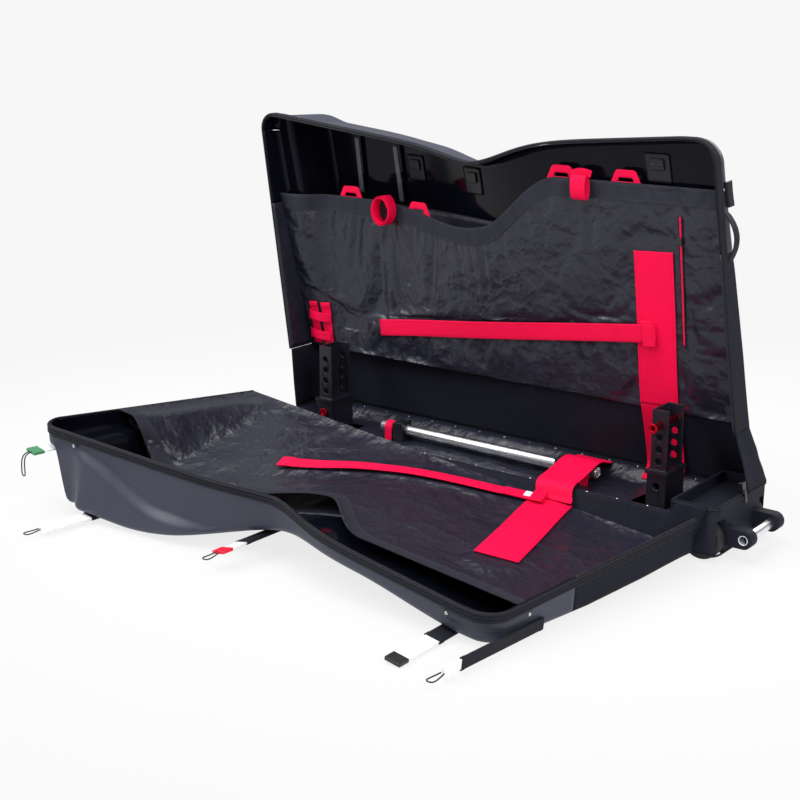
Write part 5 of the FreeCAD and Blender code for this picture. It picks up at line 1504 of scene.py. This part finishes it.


# the hub band runs on over the cloth between half and base: a ribbon laid over that joint as it stands
def buildBandFoot(half):
    route = np.array(bandFeet[half])
    if half == "near":
        head = placed(route, half)
        head[:, 2] += bandFeet["lift"]
        route = np.concatenate([head, np.array(bandFeet["overBase"])])
    path = softPath(route, bandFeet["steps"][half])
    along = np.gradient(path, axis=0) * [0, 1, 1]
    along = unit(along)
    side = np.broadcast_to(np.array([1.0, 0.0, 0.0]), path.shape)  # level, so that both edges bend alike
    section = roundedProfile(strapSize["patch"] / 2, bandFeet["wall"] / 2, 20, 7.0)
    strip = sweptPiece(half + "BandFoot", path, side, np.cross(along, side), section, redBand)
    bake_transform(strip)


buildBandFoot("far")
buildBandFoot("near")
buildSkirt("far")
buildSkirt("near")
buildLiner()
buildPiping()
buildTies()
print("base cloth")

# CAD nodes that stay, each with its material and softened edges

finishes = {
    "base_tray": (basePlastic, 0.003), "base_runner": (blackPlastic, 0.002),
    "wheel_housing": (basePlastic, 0.003), "wheel_pins": (steel, 0.0006), "pull_bar": (aluminium, 0.0005),
    "frame_rail": (railMetal, 0.0005), "rail_clips": (blackPlastic, 0.0012),
    "tower_tracks": (towerPlastic, 0.0006), "far_rod_sockets": (blackPlastic, 0.0025),
    "far_stays": (battenPlastic, 0.0008),
    "pocket_zip_slider": (darkMetal, 0.0012), "main_zip_slider": (darkMetal, 0.0012),
}
for end in ("front", "rear"):
    finishes[end + "_foot"] = (towerPlastic, 0.0018)
    finishes[end + "_post"] = (towerPlastic, 0.0012)
    finishes[end + "_axle_sleeve"] = (redMetal, 0.0007)
for side in ("near", "far"):
    finishes["wheel_%s_tyre" % side] = (tyreRubber, 0.001)
    finishes["wheel_%s_hub" % side] = (blackPlastic, 0.001)
for stay in stayNames:
    finishes["stay_" + stay] = (battenPlastic, 0.0008)
    finishes["stay_%s_cap" % stay] = (plastic(stay + "Cap", capColors[stay], 0.4), 0.0016)

softEdges = {"weld": 0.00002, "segments": 2, "angle": 40}
for name, (material, edge) in finishes.items():
    item = nodes[name]
    item.data.materials.clear()
    item.data.materials.append(material)
    item.modifiers.new("weld", "WELD").merge_threshold = softEdges["weld"]
    layer = item.modifiers.new("edges", "BEVEL")
    layer.width = edge
    layer.segments = softEdges["segments"]
    layer.limit_method = "ANGLE"
    layer.angle_limit = math.radians(softEdges["angle"])
    layer.harden_normals = True
print("CAD nodes finished:", len(finishes))

# Camera and studio

sightSettings = {"place": (1.908, -2.734, 1.14), "azimuth": 38.1, "pitch": 15.57, "lens": 64.62}
cameraData = bpy.data.cameras.new("camera")
cameraData.lens = sightSettings["lens"]
cameraData.sensor_width = 36.0
camera = bpy.data.objects.new("camera", cameraData)
bpy.context.scene.collection.objects.link(camera)
camera.location = sightSettings["place"]
azimuth, pitch = math.radians(sightSettings["azimuth"]), math.radians(sightSettings["pitch"])
sight = Vector((-math.sin(azimuth) * math.cos(pitch), math.cos(azimuth) * math.cos(pitch), -math.sin(pitch)))
camera.rotation_mode = "QUATERNION"
camera.rotation_quaternion = sight.to_track_quat("-Z", "Y")
bpy.context.scene.camera = camera
bpy.context.scene.view_settings.view_transform = "Standard"


# a soft box at a place, turned to a target
def studioLight(name, place, target, size, power):
    data = bpy.data.lights.new(name, "AREA")
    data.shape = "RECTANGLE"
    data.size, data.size_y = size
    data.energy = power
    lamp = bpy.data.objects.new(name, data)
    bpy.context.scene.collection.objects.link(lamp)
    lamp.location = place
    lamp.rotation_mode = "QUATERNION"
    lamp.rotation_quaternion = (Vector(target) - Vector(place)).to_track_quat("-Z", "Y")


lamps = {
    "keyBox": ((-2.6, -2.2, 3.0), (0, -0.2, 0.3), (2.2, 2.2), 120),
    "sideBox": ((3.0, -1.6, 2.4), (0, -0.2, 0.3), (1.6, 2.2), 70),
    "topBox": ((-0.3, -0.6, 3.6), (0, -0.1, 0.2), (3.0, 1.6), 90),
    "backBox": ((0.4, 3.0, 2.2), (0, 0, 0.4), (3.0, 1.5), 60),
}
for name, (place, target, size, power) in lamps.items():
    studioLight(name, place, target, size, power)

stage = {"size": 30.0, "level": -0.0005, "paper": (0.86, 0.86, 0.86), "glow": (0.93, 0.93, 0.93),
         "nearGlow": 0.86, "near": 0.9, "far": 1.9, "sky": 0.45}


# floor paper that glows by itself, a little less near the case so that its shadow shows, under a pale sky
def buildStage():
    size, level = stage["size"], stage["level"]
    corners = [(-size, -size, level), (size, -size, level), (size, size, level), (-size, size, level)]
    floor = meshPiece("floor", corners, [[0, 1, 2, 3]], [])
    material, tree, shader = newMaterial("floorPaper", stage["paper"], 0.9)
    glow = addNode(tree, "ShaderNodeEmission")
    glow.inputs["Color"].default_value = (*stage["glow"], 1)
    glow.inputs["Strength"].default_value = 1.0
    mix = addNode(tree, "ShaderNodeMixShader")
    light = addNode(tree, "ShaderNodeLightPath")
    seen = mathNode(tree, "MAXIMUM", light.outputs["Is Camera Ray"], light.outputs["Is Glossy Ray"])
    seen = mathNode(tree, "MAXIMUM", seen, light.outputs["Is Transmission Ray"])
    place = addNode(tree, "ShaderNodeTexCoord")
    length = addNode(tree, "ShaderNodeVectorMath", operation="LENGTH")
    tree.links.new(place.outputs["Object"], length.inputs[0])
    share = rangeOf(tree, length.outputs["Value"], stage["near"], stage["far"], stage["nearGlow"], 1.0)
    tree.links.new(mathNode(tree, "MULTIPLY", seen, share), mix.inputs["Fac"])
    tree.links.new(shader.outputs[0], mix.inputs[1])
    tree.links.new(glow.outputs[0], mix.inputs[2])
    tree.links.new(mix.outputs[0], tree.nodes["Material Output"].inputs["Surface"])
    floor.data.materials.append(material)
    world = bpy.data.worlds.new("studio")
    bpy.context.scene.world = world
    world.use_nodes = True
    tree = world.node_tree
    back = tree.nodes["Background"]
    back.inputs["Color"].default_value = (*stage["glow"], 1)
    path = addNode(tree, "ShaderNodeLightPath")
    strength = rangeOf(tree, path.outputs["Is Camera Ray"], 0, 1, stage["sky"], 1.0)
    tree.links.new(strength, back.inputs["Strength"])


buildStage()
print("camera and studio")
